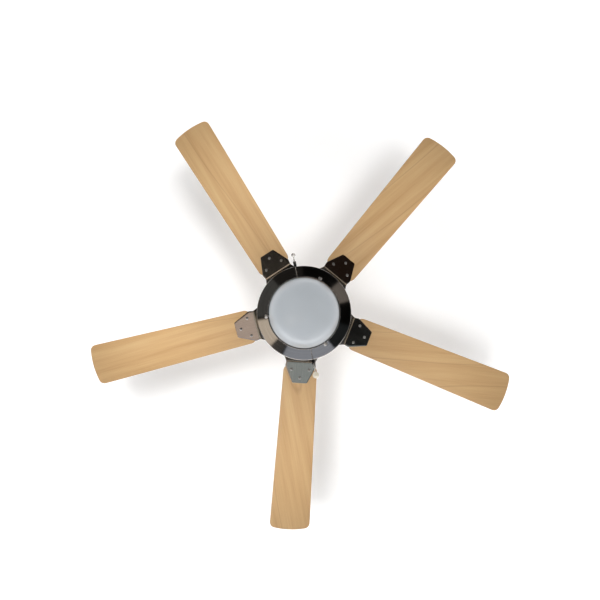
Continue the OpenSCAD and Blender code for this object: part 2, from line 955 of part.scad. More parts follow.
// The elbow that leads each chain out of the wall and down.
module chain_nozzles() {
    stub_l = nozzle_reach - elbow_r - 2;
    color("dimgray")
    for (turn = [-90, 90])
        rotate([0, 0, turn])
            translate([switch_r + 2, 0, chain_z]) {
                outward()
                    ring(nozzle_r, nozzle_bore_r, stub_l);
                translate([stub_l, 0, -elbow_r])
                    rotate([90, 0, 0])
                        rotate_extrude(angle = 90)
                            translate([elbow_r, 0])
                                difference() {
                                    circle(r = nozzle_r);
                                    circle(r = nozzle_bore_r);
                                }
                translate([nozzle_reach - 2, 0, -elbow_r - spout_l])
                    ring(nozzle_r, nozzle_bore_r, spout_l);
                outward()
                    difference() {
                        cylinder(r = 7, h = 2, $fn = 6);
                        translate([0, 0, -1])
                            cylinder(r = nozzle_r - 0.01, h = 4);
                    }
            }
}

// A hanging chain's route: straight down, a point every 2.5 beads.
function chain_route(side, top_z, bottom_z) = let (n = ceil((top_z - bottom_z) / (2.5 * chain_d)))
    [for (i = [0 : n]) [0, side * chain_r, top_z + (bottom_z - top_z) * i / n]];

module speed_chain() {
    color(steel)
    swept_tube(chain_route(-1, chain_top_z, mouth_z - speed_chain_l), chain_d / 2, 8, 0);
}

module speed_chain_ball() {
    color(steel)
    translate([0, -chain_r, mouth_z - speed_chain_l - end_ball_r - 4])
        union() {
            sphere(r = end_ball_r);
            cylinder(r = chain_d / 2 + 0.6, h = end_ball_r + 4);
        }
}

module light_chain() {
    color(steel)
    swept_tube(chain_route(1, chain_top_z, mouth_z - light_chain_l), chain_d / 2, 8, 0);
}

module light_chain_pendant() {
    top_z = mouth_z - light_chain_l;
    steps = 16;
    side = [for (i = [0 : steps]) let (t = i / steps)
        [max(1.6, pendant_r * sin(180 * pow(t, 0.7))), -pendant_l * (1 - t)]];
    color("ivory")
    translate([0, chain_r, top_z])
        rotate_extrude()
            polygon(concat([[0, -pendant_l]], side, [[0, 0]]));
}

module reverse_switch() {
    color([0.1, 0.1, 0.1])
    difference() {
        translate([switch_r - sheet_t - 12, -9, chain_z - 16])
            cube([9.5, 18, 32]);
        translate([switch_r - sheet_t - 8, -3.5, chain_z - reverse_travel - 1])
            cube([8, 7, 2 * reverse_travel + 2]);
    }
}

module reverse_slider() {
    color([0.1, 0.1, 0.1])
    translate([switch_r - sheet_t - 6, -2.5, chain_z - reverse_travel + 0.5])
        cube([10, 5, reverse_travel - 1]);
}

// ---- Light --------------------------------------------------------------------------------

module light_pan() {
    cone = [
        [collar_r, pan_z], [collar_in_r, pan_z], [collar_in_r, pan_z + sheet_t],
        [collar_r - 0.5, pan_z + sheet_t], [ring_r - 1.2, ring_top_z - 2 + sheet_t],
        [ring_r - 1.2, ring_top_z + 1], [ring_r, ring_top_z + 1], [ring_r, ring_top_z - 2]
    ];
    cone_rise = (ring_r - collar_r) > 0 ? cone_h / (ring_r - collar_r) : 0;
    sleeve_foot_z = pan_z + cone_rise * (sleeve_r - sheet_t - collar_r);
    color(chrome)
    difference() {
        union() {
            rotate_extrude()
                polygon(cone);
            translate([0, 0, pan_z])
                cylinder(r = collar_r - 0.01, h = sheet_t);
            translate([0, 0, collar_z])
                ring(collar_r, collar_in_r, collar_h + 0.01);
            translate([0, 0, sleeve_foot_z])
                ring(sleeve_r, sleeve_r - sheet_t, switch_z + sleeve_h - sleeve_foot_z);
        }
        side_screw_holes(switch_z + side_screw_inset, 2 + thread_gap);
        translate([0, 0, pan_z - 1])
            cylinder(r = 8, h = 5);
        for (az = thumb_azs)
            rotate([0, 0, az])
                translate([collar_in_r - 2, 0, thumb_z])
                    outward()
                        cylinder(r = thumb_r + thread_gap, h = 6);
    }
}

module lamp_bracket() {
    color(steel)
    difference() {
        union() {
            translate([-14, -16, pan_z - 2])
                cube([28, 32, 1.95]);
            for (side = [-1, 1])
                translate([side * 13 - 1, -16, lamp_z - 16])
                    cube([2, 32, pan_z - lamp_z + 15.9]);
        }
        translate([0, 0, pan_z - 3])
            cylinder(r = 6, h = 4);
        translate([-20, 0, lamp_z])
            outward()
                cylinder(r = 4, h = 40);
    }
}

module lampholders() {
    color("white")
    for (turn = [0, 180])
        rotate([0, 0, turn])
            translate([holder_x + 0.05, 0, lamp_z])
                outward()
                    difference() {
                        cylinder(r = holder_r, h = holder_l);
                        translate([0, 0, 4])
                            cylinder(r = 7.2, h = holder_l);
                    }
}

module lamps() {
    globe_r = 17;
    globe_x = glass_neck_r * 0.6;
    color("white")
    for (turn = [0, 180])
        rotate([0, 0, turn])
            translate([0, 0, lamp_z])
                outward() {
                    translate([0, 0, holder_x + 5])
                        cylinder(r = 6.9, h = globe_x - holder_x - 5);
                    translate([0, 0, globe_x])
                        sphere(r = globe_r);
                }
}

module glass_bowl() {
    steps = 24;
    outer = [for (i = [0 : steps]) let (t = i * 90 / steps)
        [glass_d / 2 * cos(t), glass_dome_z - glass_depth * sin(t)]];
    inner = [for (i = [steps : -1 : 0]) let (t = i * 90 / steps)
        [(glass_d / 2 - glass_t) * cos(t), glass_dome_z - (glass_depth - glass_t) * sin(t)]];
    neck = [
        [glass_neck_r - glass_t, glass_dome_z + 2], [glass_neck_r - glass_t, glass_top_z],
        [glass_neck_r, glass_top_z], [glass_neck_r, glass_dome_z + 2]
    ];
    color([0.93, 0.94, 0.95])
    rotate_extrude()
        polygon(concat(outer, inner, neck));
}

module thumbscrew(i) {
    flutes = 12;
    head_r = 5.2;
    color(steel)
    rotate([0, 0, thumb_azs[i]])
        translate([glass_neck_r + 0.3, 0, thumb_z])
            outward()
                union() {
                    cylinder(r = thumb_r, h = collar_r - glass_neck_r + 0.6);
                    translate([0, 0, collar_r - glass_neck_r + 0.5])
                        difference() {
                            cylinder(r = head_r, h = 7);
                            for (k = [0 : flutes - 1])
                                rotate([0, 0, k * 360 / flutes])
                                    translate([head_r + 0.25, 0, -1])
                                        cylinder(r = 0.7, h = 9, $fn = 24);
                        }
                }
}

hanger_bracket();
canopy();
canopy_screws();
hanger_ball();
ball_pin();
downrod();
lead_wires();
wire_nuts();
coupling_cover();
yoke();
clevis_pin();
cotter_pin();
yoke_screws();
shaft();
shaft_nut();
bearing_inner_rings();
bearing_outer_rings();
stator_core();
windings();
motor_housing_upper();
motor_housing_lower();
housing_screws();
rotor_core();
bell_upper();
bell_lower();
bell_screws();
iron(0);  // iron_1
iron(1);  // iron_2
iron(2);  // iron_3
iron(3);  // iron_4
iron(4);  // iron_5
blade(0);  // blade_1
blade(1);  // blade_2
blade(2);  // blade_3
blade(3);  // blade_4
blade(4);  // blade_5
iron_screws();
blade_screws();
switch_plate();
switch_housing();
side_screws();
capacitor();
chain_switches();
chain_nozzles();
speed_chain();
speed_chain_ball();
light_chain();
light_chain_pendant();
reverse_switch();
reverse_slider();
light_pan();
lamp_bracket();
lampholders();
lamps();
glass_bowl();
thumbscrew(0);  // thumbscrew_1
thumbscrew(1);  // thumbscrew_2
thumbscrew(2);  // thumbscrew_3
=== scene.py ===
# %% [markdown]
# # A five-blade ceiling fan with a bowl light
#
# The fan hangs from a ceiling bracket, so the frame's origin is on the ceiling and everything else lies
# below it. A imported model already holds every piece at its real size. This lesson loads that model as a
# fixed frame and dresses it: some pieces only get a finish, others get a finer surface in their place.

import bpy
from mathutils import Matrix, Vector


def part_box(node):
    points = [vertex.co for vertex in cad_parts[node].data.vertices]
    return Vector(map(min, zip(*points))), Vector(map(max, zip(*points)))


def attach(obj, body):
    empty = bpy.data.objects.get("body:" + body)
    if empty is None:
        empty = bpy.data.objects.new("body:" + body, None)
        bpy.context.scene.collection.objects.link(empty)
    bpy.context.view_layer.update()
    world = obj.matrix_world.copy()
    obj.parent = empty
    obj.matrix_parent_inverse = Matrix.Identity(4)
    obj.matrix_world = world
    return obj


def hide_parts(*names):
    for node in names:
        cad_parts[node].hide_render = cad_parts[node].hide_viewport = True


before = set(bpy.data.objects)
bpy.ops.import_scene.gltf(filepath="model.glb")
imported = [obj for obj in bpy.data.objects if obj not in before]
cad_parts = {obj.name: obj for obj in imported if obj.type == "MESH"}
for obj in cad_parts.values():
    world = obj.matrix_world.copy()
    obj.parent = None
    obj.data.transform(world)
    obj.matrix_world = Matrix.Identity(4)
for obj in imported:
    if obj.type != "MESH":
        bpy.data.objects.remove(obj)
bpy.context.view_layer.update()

# %% Libraries and the size of the box
import math

import bpy
import numpy as np
from mathutils import Matrix

MM = 0.001
# The first blade's bearing from +X, and the bearing of the camera's right-hand side.
first_blade, camera_turn = math.radians(32.6), math.radians(10.7)
scene = bpy.context.scene

# %% [markdown]
# ## The camera
#
# A ceiling fan is most often seen from the floor, straight up along its axis, so that is where this
# camera stands. A camera looks along its own -Z axis. Writing its three axes as the columns of a matrix
# is the clearest way to turn it, because "which way is right, which way is up" is all that there is to
# say. The lens is a little wide, as a room's camera is.

# %% Camera under the hub, looking up
camera_data = bpy.data.cameras.new("camera")
camera_data.sensor_width = 36
camera_data.lens = 27.6
camera_data.shift_x = -0.0068
camera_data.shift_y = 0.0217
camera = bpy.data.objects.new("camera", camera_data)
scene.collection.objects.link(camera)
scene.camera = camera
camera_z = -1.661
cos_turn, sin_turn = math.cos(camera_turn), math.sin(camera_turn)
camera.matrix_world = Matrix((
    (cos_turn, sin_turn, 0, 0),
    (sin_turn, -cos_turn, 0, 0),
    (0, 0, -1, camera_z),
    (0, 0, 0, 1),
))
print("camera", [round(v, 3) for v in camera.location], "mm lens", camera_data.lens)

# %% [markdown]
# ## Surfaces from arrays
#
# Every new piece is a grid of points that numpy works out at once: a function of two parameters, or a
# profile carried round an axis or along a path. Two neighbours along each side of the grid make a
# four-sided face. Where a grid meets itself, as at a seam or a pole, its points fall on each other, and
# they become one vertex, so that the surface is closed.

# %% Make a mesh from grids of points
def skin(name, grids, sharp=35):
    """One mesh from grids, each a pair (points, uv) of shape (rows, columns, 3) and (rows, columns, 2).

    Points closer than a tenth of a micrometre are one vertex. A face whose corners fall together
    becomes a triangle, or goes. Edges that turn by more than `sharp` degrees stay sharp.
    """
    points = np.concatenate([p.reshape(-1, 3) for p, _ in grids])
    uv = np.concatenate([t.reshape(-1, 2) for _, t in grids])
    quads, base = [], 0
    for p, _ in grids:
        k = base + np.arange(p.shape[0] * p.shape[1]).reshape(p.shape[:2])
        quads.append(np.stack([k[:-1, :-1], k[:-1, 1:], k[1:, 1:], k[1:, :-1]], -1).reshape(-1, 4))
        base += k.size
    quads = np.concatenate(quads)
    _, first, same = np.unique(
        np.round(points * 1e7).astype(np.int64), axis=0, return_index=True, return_inverse=True)
    corners = same.reshape(-1)[quads]
    kept = corners != np.roll(corners, 1, axis=1)
    whole = kept.sum(1) > 2
    kept, corners, quads = kept[whole], corners[whole], quads[whole]
    sizes = kept.sum(1)
    mesh = bpy.data.meshes.new(name)
    mesh.vertices.add(len(first))
    mesh.vertices.foreach_set("co", points[first].ravel())
    mesh.loops.add(int(sizes.sum()))
    mesh.loops.foreach_set("vertex_index", corners[kept].astype(np.int32))
    mesh.polygons.add(len(sizes))
    mesh.polygons.foreach_set("loop_start", np.concatenate([[0], np.cumsum(sizes)[:-1]]).astype(np.int32))
    mesh.update(calc_edges=True)
    mesh.uv_layers.new(name="UVMap").data.foreach_set("uv", uv[quads[kept]].ravel())
    mesh.validate()
    mesh.shade_smooth()
    mesh.set_sharp_from_angle(angle=math.radians(sharp))
    return mesh


# %% Put a mesh in the scene as a piece of the fan
def piece(name, grids, finish, body, nodes, sharp=35):
    """A piece with its finish and body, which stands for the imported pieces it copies."""
    obj = bpy.data.objects.new(name, skin(name, grids, sharp))
    scene.collection.objects.link(obj)
    obj.data.materials.append(finish)
    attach(obj, body)
    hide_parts(*nodes)
    print(f"{name}: {len(obj.data.vertices)} points, {len(obj.data.polygons)} faces, on {body}")
    return obj


# %% Round an outline's corners
def soften(outline, cut, steps=5, closed=True):
    """Replaces each corner C by a circle's arc that leaves the edges at A and B, `cut` away from C.

    With w the cosine of half the turn, the arc is the rational curve
    P(t) = ((1-t)^2 A + 2 t (1-t) w C + t^2 B) / ((1-t)^2 + 2 t (1-t) w + t^2).
    """
    c = np.asarray(outline, float)
    cut = np.broadcast_to(np.asarray(cut, float), len(c)).copy()
    if not closed:
        cut[[0, -1]] = 0
    back, ahead = np.roll(c, 1, 0) - c, np.roll(c, -1, 0) - c
    len_b, len_a = np.linalg.norm(back, axis=1), np.linalg.norm(ahead, axis=1)
    a = c + back * (np.minimum(cut, 0.45 * len_b) / len_b)[:, None]
    b = c + ahead * (np.minimum(cut, 0.45 * len_a) / len_a)[:, None]
    cos_turn = np.clip(-(back * ahead).sum(1) / (len_b * len_a), -1, 1)
    w = np.sqrt((1 + cos_turn) / 2)[:, None, None]
    t = np.linspace(0, 1, steps)[None, :, None]
    top = (1 - t) ** 2 * a[:, None] + 2 * t * (1 - t) * w * c[:, None] + t ** 2 * b[:, None]
    return (top / ((1 - t) ** 2 + 2 * t * (1 - t) * w + t ** 2)).reshape(-1, 2)


# %% Turn a profile about an axis
def lathe(profile, columns=128):
    """The profile's point (r, z), in mm, sweeps about Z to (r cos a, r sin a, z).

    The profile runs anticlockwise in the (r, z) plane, so that faces look outward. In the UV map, u is
    the angle from 0 to 1, and v is the length along the profile in metres.
    """
    p = np.asarray(profile, float) * MM
    a = np.linspace(0, 2 * np.pi, columns + 1)
    r, z = p[:, :1], p[:, 1:]
    points = np.stack([r * np.cos(a), r * np.sin(a), z + 0 * a], -1)
    points[:, -1] = points[:, 0]
    run = np.concatenate([[0], np.cumsum(np.linalg.norm(np.diff(p, axis=0), axis=1))])
    uv = np.stack(np.broadcast_arrays(a / (2 * np.pi), run[:, None]), -1)
    return points, uv


def closed(profile):
    """Repeats the first point at the end, so that a ring's profile meets itself."""
    return np.concatenate([profile, profile[:1]])


# %% Move a grid to its place
def placed(grid, axis=(0, 0, 1), at=(0, 0, 0), spin=0.0):
    """Turns a grid so that its Z axis points along `axis`, after a turn of `spin` about Z, and moves it."""
    z = np.asarray(axis, float) / np.linalg.norm(axis)
    x = np.cross([0.0, 0.0, 1.0] if abs(z[2]) < 0.9 else [1.0, 0.0, 0.0], z)
    x /= np.linalg.norm(x)
    y = np.cross(z, x)
    c, s = math.cos(spin), math.sin(spin)
    turned = np.stack([c * x + s * y, c * y - s * x, z])
    return grid[0] @ turned + np.asarray(at, float), grid[1]


# %% Carry a circle along a path
def sweep(path, side, rings, radii, columns=24):
    """A tube round a flat path: ring k, on path point C_i, is C_i + r_k (cos a N_i + sin a S).

    S is `side`, square to the path's plane; T_i is the path's direction, and N_i = S x T_i. `rings`
    names the path point of each ring, so that a bore can run back along the same path.
    """
    path, side = np.asarray(path, float), np.asarray(side, float)
    ahead = np.gradient(path, axis=0)
    ahead /= np.linalg.norm(ahead, axis=1)[:, None]
    normal = np.cross(side, ahead)[rings]
    a = np.linspace(0, 2 * np.pi, columns + 1)[None, :, None]
    r = np.asarray(radii, float)[:, None, None]
    points = path[rings][:, None] + r * (np.cos(a) * normal[:, None] + np.sin(a) * side)
    points[:, -1] = points[:, 0]
    run = np.concatenate([[0], np.cumsum(np.linalg.norm(np.diff(path, axis=0), axis=1))])[rings]
    return points, np.stack(np.broadcast_arrays(a[0, :, 0] / (2 * np.pi), run[:, None]), -1)

# %% [markdown]
# ## The room
#
# A fan hangs from a white ceiling, and a studio for it is a white ceiling, a pale floor far below and
# large soft lamps. The ceiling's paint shows only from below, so a view from above looks through it. A
# dark metal has no colour of its own and shows what stands round it, so the world holds soft cards that
# only reflections see: one ring of cards for the faces that lean outward, one for the pitched irons.

# %% Colours from hex codes, and one function for nodes
def linear(code):
    """The linear RGBA of an sRGB hex colour: ((c + 0.055) / 1.055) ^ 2.4, or c / 12.92 when dark."""
    c = np.array([int(code[i:i + 2], 16) for i in (1, 3, 5)]) / 255
    return (*np.where(c <= 0.04045, c / 12.92, ((c + 0.055) / 1.055) ** 2.4).tolist(), 1.0)


def add(tree, kind, inputs=None, **settings):
    """Adds a node. `settings` are its own properties; `inputs` gives each socket a value or a link."""
    node = tree.nodes.new("ShaderNode" + kind)
    for key, value in settings.items():
        setattr(node, key, value)
    for key, value in (inputs or {}).items():
        if isinstance(value, bpy.types.NodeSocket):
            tree.links.new(value, node.inputs[key])
        else:
            node.inputs[key].default_value = value
    return node


def ramp(tree, factor, stops, mode="LINEAR"):
    """Colours along a line: `stops` is a list of (place from 0 to 1, hex colour)."""
    node = add(tree, "ValToRGB", {"Fac": factor})
    node.color_ramp.interpolation = mode
    points = node.color_ramp.elements
    for point, (place, colour) in zip(points, (stops[0], stops[-1])):
        point.position, point.color = place, linear(colour)
    for place, colour in stops[1:-1]:
        points.new(place).color = linear(colour)
    return node.outputs["Color"]


def here(tree):
    """The Object coordinates: metres from the piece's origin."""
    return add(tree, "TexCoord").outputs["Object"]


def noise(tree, place, cells, detail=2.0, **more):
    """A noise from 0 to 1 with `cells` to the metre at `place`."""
    return add(tree, "TexNoise", {"Vector": place, "Scale": cells, "Detail": detail, **more}).outputs["Fac"]


def tint(tree, shader, factor, stops):
    """Colours the surface along a ramp."""
    tree.links.new(ramp(tree, factor, stops), shader.inputs["Base Color"])


def relief(tree, shader, height, distance, strength):
    """Gives the shader a bumpy surface: a pattern's heights, `distance` metres from low to high."""
    bumps = add(tree, "Bump", {"Height": height, "Distance": distance, "Strength": strength})
    tree.links.new(bumps.outputs[0], shader.inputs["Normal"])


def gloss(tree, shader, value, low, high, **span):
    """Lets the roughness run from `low` to `high` as the value does from 0 to 1, or along `span`."""
    limits = {1: span.get("start", 0.0), 2: span.get("end", 1.0), 3: low, 4: high}
    tree.links.new(add(tree, "MapRange", {"Value": value, **limits}).outputs[0], shader.inputs["Roughness"])


# %% The world: pale to the eye, cards to a reflection
def cards(tree, angle, spans, gap, soft=0.003):
    """A ramp round the compass: each span (from, to, hex) is a card, and `gap` is what lies between."""
    stops = [(0.0, gap)]
    for start, end, colour in spans:
        a, b = start / 360, end / 360
        stops += [(a - soft, gap), (a + soft, colour), (b - soft, colour), (b + soft, gap)]
    return ramp(tree, angle, stops + [(1.0, gap)])


world = bpy.data.worlds.new("studio")
scene.world = world
world.use_nodes = True
room = world.node_tree
way = add(room, "SeparateXYZ", {0: add(room, "TexCoord").outputs["Generated"]})
bearing = add(room, "Math", {0: way.outputs["Y"], 1: way.outputs["X"]}, operation="ARCTAN2")
# The compass runs clockwise seen from above and starts at the camera's right.
compass = add(room, "Math", {0: camera_turn, 1: bearing.outputs[0]}, operation="SUBTRACT")
compass = add(room, "Math", {0: compass.outputs[0], 1: 2 * math.pi}, operation="DIVIDE")
compass = add(room, "Math", {0: compass.outputs[0]}, operation="FRACT").outputs[0]
outer_cards = cards(room, compass, [
    (15, 42, "#88817b"), (92, 132, "#292725"), (132, 185, "#585857"), (189, 226, "#fff0de"), (226, 241, "#53514f"),
    (243, 311, "#b7becc"), (314, 344, "#272b2d")], "#0a0a09")
inner_cards = cards(room, compass, [
    (66, 126, "#2a1f19"), (140, 196, "#3b3833"), (208, 272, "#ecd8cb"), (280, 342, "#b9c4c6")], "#121110")
down = add(room, "Math", {0: way.outputs["Z"], 1: -1.0}, operation="MULTIPLY").outputs[0]
steep = add(room, "MapRange", {"Value": down, 1: 0.93, 2: 0.95})
level = add(room, "MapRange", {"Value": down, 1: 0.5, 2: 0.72})
low_cards = add(room, "MixRGB", {"Fac": steep.outputs[0], 1: outer_cards, 2: inner_cards})
walls = ramp(room, down, [(0.0, "#b9b9bb"), (0.35, "#6a6a6c"), (1.0, "#202022")])
# A window wall stands on one side: bright towards the horizon, and seen only in glass and round heads.
window_way, window_power = (-0.25, 0.97, 0.0), 10.0
facing = add(room, "TexCoord").outputs["Generated"]
facing = add(room, "VectorMath", {0: facing, 1: window_way}, operation="DOT_PRODUCT").outputs["Value"]
window = add(room, "MapRange", {"Value": facing, 1: 0.1, 2: 0.95, 3: 1.0, 4: window_power},
    interpolation_type="SMOOTHSTEP")
walls = add(room, "VectorMath", {0: walls, "Scale": window.outputs[0]}, operation="SCALE").outputs[0]
mirror = add(room, "MixRGB", {"Fac": level.outputs[0], 1: walls, 2: low_cards.outputs[0]})
rays = add(room, "LightPath")
seen = add(room, "MixRGB", {"Fac": rays.outputs["Is Glossy Ray"], 1: linear("#f4f4f5"), 2: mirror.outputs[0]})
power = add(room, "MapRange", {"Value": rays.outputs["Is Diffuse Ray"], 3: 1.0, 4: 0.2})
room.links.new(seen.outputs[0], room.nodes["Background"].inputs["Color"])
room.links.new(power.outputs[0], room.nodes["Background"].inputs["Strength"])
scene.view_settings.view_transform = "Standard"
print("world nodes", len(room.nodes))


# %% Ceiling and floor
def new_finish(name):
    """A named material with its node tree and its Principled shader."""
    finish = bpy.data.materials.new(name)
    finish.use_nodes = True
    return finish, finish.node_tree, finish.node_tree.nodes["Principled BSDF"]


def stage_plane(name, z, half, finish, up):
    """A square of side 2 half at height z that faces up (1) or down (-1)."""
    x, y = np.meshgrid(np.linspace(-half, half, 3), np.linspace(-half, half, 3) * up)
    obj = bpy.data.objects.new(name, skin(name, [(np.stack([x, y, z + 0 * x], -1), np.stack([x, y], -1))]))
    scene.collection.objects.link(obj)
    obj.data.materials.append(finish)
    return obj


paint, tree, shader = new_finish("matt_ceiling_paint")
roller = noise(tree, here(tree), 350.0, 2.0)
shader.inputs["Base Color"].default_value = linear("#f6f6f6")
shader.inputs["Roughness"].default_value = 0.95
# The paint glows away from the fan, where the lamps don't reach, so that the ceiling is even.
spot = add(tree, "VectorMath", {0: here(tree)}, operation="LENGTH").outputs["Value"]
glow = add(tree, "MapRange", {"Value": spot, 1: 0.5, 2: 1.15, 3: 0.12, 4: 0.8}, interpolation_type="SMOOTHSTEP")
tree.links.new(glow.outputs[0], shader.inputs["Emission Strength"])
shader.inputs["Emission Color"].default_value = (1, 1, 1, 1)
relief(tree, shader, roller, 0.0002, 0.3)
# Seen from behind, the paint is clear, so that the fan can be viewed from above.
side = add(tree, "NewGeometry")
clear = add(tree, "BsdfTransparent")
both = add(tree, "MixShader", {0: side.outputs["Backfacing"], 1: shader.outputs[0], 2: clear.outputs[0]})
tree.links.new(both.outputs[0], tree.nodes["Material Output"].inputs["Surface"])
ceiling = stage_plane("ceiling", 0.0006, 5.0, paint, -1)

sealer, tree, shader = new_finish("pale_sealed_floor")
grain = noise(tree, here(tree), 9.0, 4.0)
tint(tree, shader, grain, [(0.3, "#dedede"), (0.7, "#e2e2e2")])
shader.inputs["Roughness"].default_value = 0.8
floor = stage_plane("floor", -2.6, 5.0, sealer, 1)
floor.visible_glossy = False
print("stage", ceiling.name, floor.name)


# %% Soft lamps
def lamp(name, at, aim, size, watts, colour="#ffffff"):
    """A round soft lamp `size` across at `at` that shines towards `aim`; reflections don't see it."""
    data = bpy.data.lights.new(name, "AREA")
    data.shape, data.size, data.energy = "DISK", size, watts
    data.color = linear(colour)[:3]
    obj = bpy.data.objects.new(name, data)
    scene.collection.objects.link(obj)
    back = np.asarray(at, float) - np.asarray(aim, float)
    back /= np.linalg.norm(back)
    right = np.cross([0.1, 1.0, 0.0], back)
    right /= np.linalg.norm(right)
    above = np.cross(back, right)
    obj.matrix_world = Matrix(np.vstack([np.column_stack([right, above, back, at]), [0, 0, 0, 1]]).tolist())
    obj.visible_glossy = False
    obj.visible_camera = False
    print(name, at, watts, "W")
    return obj


lamp("key_lamp", (0.6, 2.4, -1.9), (0.0, 0.0, -0.3), 1.2, 6, "#fffaf4")
# One lamp stands under each blade and a little to one side, so that each shadow falls to the other side.
# Unequal power makes one side of the room the brighter.
for k, watts in enumerate([0.45, 0.57, 0.67, 0.55, 0.40]):
    way_round = first_blade + math.radians(72 * k)
    along = np.array([math.cos(way_round), math.sin(way_round), 0])
    aside = np.array([-math.sin(way_round), math.cos(way_round), 0])
    mid_blade = 0.44 * along
    soft_lamp = lamp(f"blade_lamp_{k + 1}", mid_blade + 0.31 * aside + [0, 0, -1.15],
        mid_blade + [0, 0, -0.26], 0.5, watts)
    soft_lamp.data.spread = math.radians(42)

# %% [markdown]
# ## Nickel, brushed and spun
#
# The ring, the housings and the irons are steel, plated with a dark nickel and brushed. The brushing
# leaves fine scratches: they follow the circle on a spun piece and run straight on a flat one. A scratch
# spreads a reflection across its own direction, which the shader's anisotropy does, and the scratches
# you can see come from a noise that is stretched along them. Real ones are about 0.1 mm apart. Here the
# coarsest are a millimetre or two, so that they show from across the room.

# %% A brushed metal
def brushed(name, along, across, tangent, dark="#8f8b86", light="#a8a49e", rough=(0.16, 0.30), pit=0.00001, fold=None):
    """Plated, brushed metal. `along` and `across` are the noise's cells per metre of UV distance.

    With tangent "RADIAL" the scratches circle the Z axis: the slow change comes from the Object
    coordinates and the lines from v. With "UV" they run along u. Where u is `fold`, a painted highlight
    runs along the bend: it is paler and less metallic over about two millimetres.
    """
    finish, tree, shader = new_finish(name)
    coords = add(tree, "TexCoord")
    uv = add(tree, "SeparateXYZ", {0: coords.outputs["UV"]})
    lines = add(tree, "Math", {0: uv.outputs["Y"], 1: across}, operation="MULTIPLY").outputs[0]
    if tangent == "RADIAL":
        slow = add(tree, "VectorMath", {0: coords.outputs["Object"], 1: (along, along, 0)}, operation="MULTIPLY")
    else:
        slow = add(tree, "VectorMath", {0: coords.outputs["UV"], 1: (along, 0, 0)}, operation="MULTIPLY")
    place = add(tree, "CombineXYZ", {"Z": lines})
    place = add(tree, "VectorMath", {0: slow.outputs[0], 1: place.outputs[0]}, operation="ADD").outputs[0]
    scratch = noise(tree, place, 1.0, 5.0, Roughness=0.6)
    smear = noise(tree, coords.outputs["Object"], 14.0, 2.0)
    both = add(tree, "Math", {0: scratch, 1: smear}, operation="MULTIPLY").outputs[0]
    plating = ramp(tree, scratch, [(0.3, dark), (0.7, light)])
    shader.inputs["Metallic"].default_value = 1.0
    if fold:
        # A painted highlight along the fold: a pale beige, less metallic stripe about two millimetres wide.
        away = add(tree, "Math", {0: uv.outputs["X"], 1: fold}, operation="SUBTRACT").outputs[0]
        away = add(tree, "Math", {0: away}, operation="ABSOLUTE").outputs[0]
        fold_highlight = add(tree, "MapRange", {"Value": away, 1: 0.0012, 2: 0.0022, 3: 1.0, 4: 0.0}).outputs[0]
        plating = add(tree, "MixRGB", {"Fac": fold_highlight, 1: plating, 2: linear("#b7a791")}).outputs[0]
        highlight_metallic = add(tree, "MapRange", {"Value": fold_highlight, 3: 1.0, 4: 0.65}).outputs[0]
        tree.links.new(highlight_metallic, shader.inputs["Metallic"])
    tree.links.new(plating, shader.inputs["Base Color"])
    gloss(tree, shader, both, *rough, start=0.1, end=0.45)
    relief(tree, shader, scratch, pit, 0.6)
    shader.inputs["Anisotropic"].default_value = 0.6
    shader.inputs["Anisotropic Rotation"].default_value = 0.25
    if tangent == "RADIAL":
        flow = add(tree, "Tangent", direction_type="RADIAL", axis="Z")
    else:
        flow = add(tree, "Tangent", direction_type="UV_MAP", uv_map="UVMap")
    tree.links.new(flow.outputs[0], shader.inputs["Tangent"])
    return finish


ring_nickel = brushed("spun_nickel_ring", 9.0, 900.0, "RADIAL", "#a09c97", "#b8b4ae", rough=(0.07, 0.16))
housing_nickel = brushed("spun_nickel_housing", 7.0, 700.0, "RADIAL", rough=(0.26, 0.38))
iron_nickel = brushed("brushed_nickel_iron", 14.0, 700.0, "UV", "#a39f99", "#bdb8b2", rough=(0.10, 0.18), fold=0.148)
print("brushed metals", ring_nickel.name, housing_nickel.name, iron_nickel.name)

# %% [markdown]
# ## The light's ring and its glass bowl
#
# Both are spun or blown round one axis, so both are a profile turned about Z. The ring's underside is a
# shallow cone that carries a collar for the glass; its sheet is 1.5 mm thick and every bend has a small
# radius. The bowl is a third as deep as it is wide and stands in the collar on three thumbscrews.

# %% Ring and pan, one spun sheet
ring_low, ring_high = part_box("light_pan")
glass_low, glass_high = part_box("glass_bowl")
ring_r = ring_high.x / MM
cone_top = -337.5
pan_z = -345.5
collar_r, sheet = 104.0, 1.5
sleeve_r, sleeve_top = 126.3, ring_high.z / MM
pan = soften([
    (8, pan_z), (collar_r - sheet, pan_z), (collar_r - sheet, ring_low.z / MM), (collar_r, ring_low.z / MM),
    (collar_r, pan_z), (ring_r, cone_top), (ring_r, cone_top + 3), (ring_r - 1.2, cone_top + 3),
    (ring_r - 1.2, cone_top + sheet), (sleeve_r, cone_top + sheet - 1.3), (sleeve_r, sleeve_top),
    (sleeve_r - sheet, sleeve_top), (sleeve_r - sheet, cone_top + sheet - 1.8), (collar_r - 0.5, pan_z + sheet),
    (8, pan_z + sheet)],
    cut=[0.4, 0.4, 0.5, 0.5, 0.9, 1.6, 0.5, 0.5, 0.4, 0.4, 0.5, 0.5, 0.4, 0.6, 0.4], steps=6)
piece("light_ring", [lathe(closed(pan), 192)], ring_nickel, "fan_frame", ["light_pan"])

# %% Glass bowl
bowl_r, neck_r, glass_t = glass_high.x / MM, 99.0, 3.0
dome_z, dome_low, bowl_top = -356.5, glass_low.z / MM, glass_high.z / MM


def bowl_arc(r, low, steps):
    """A quarter ellipse from the pole (0, low) to (r, dome_z): (r cos t, dome_z - depth sin t)."""
    t = np.linspace(np.pi / 2, 0, steps)
    return np.stack([r * np.cos(t), dome_z - (dome_z - low) * np.sin(t)], -1)


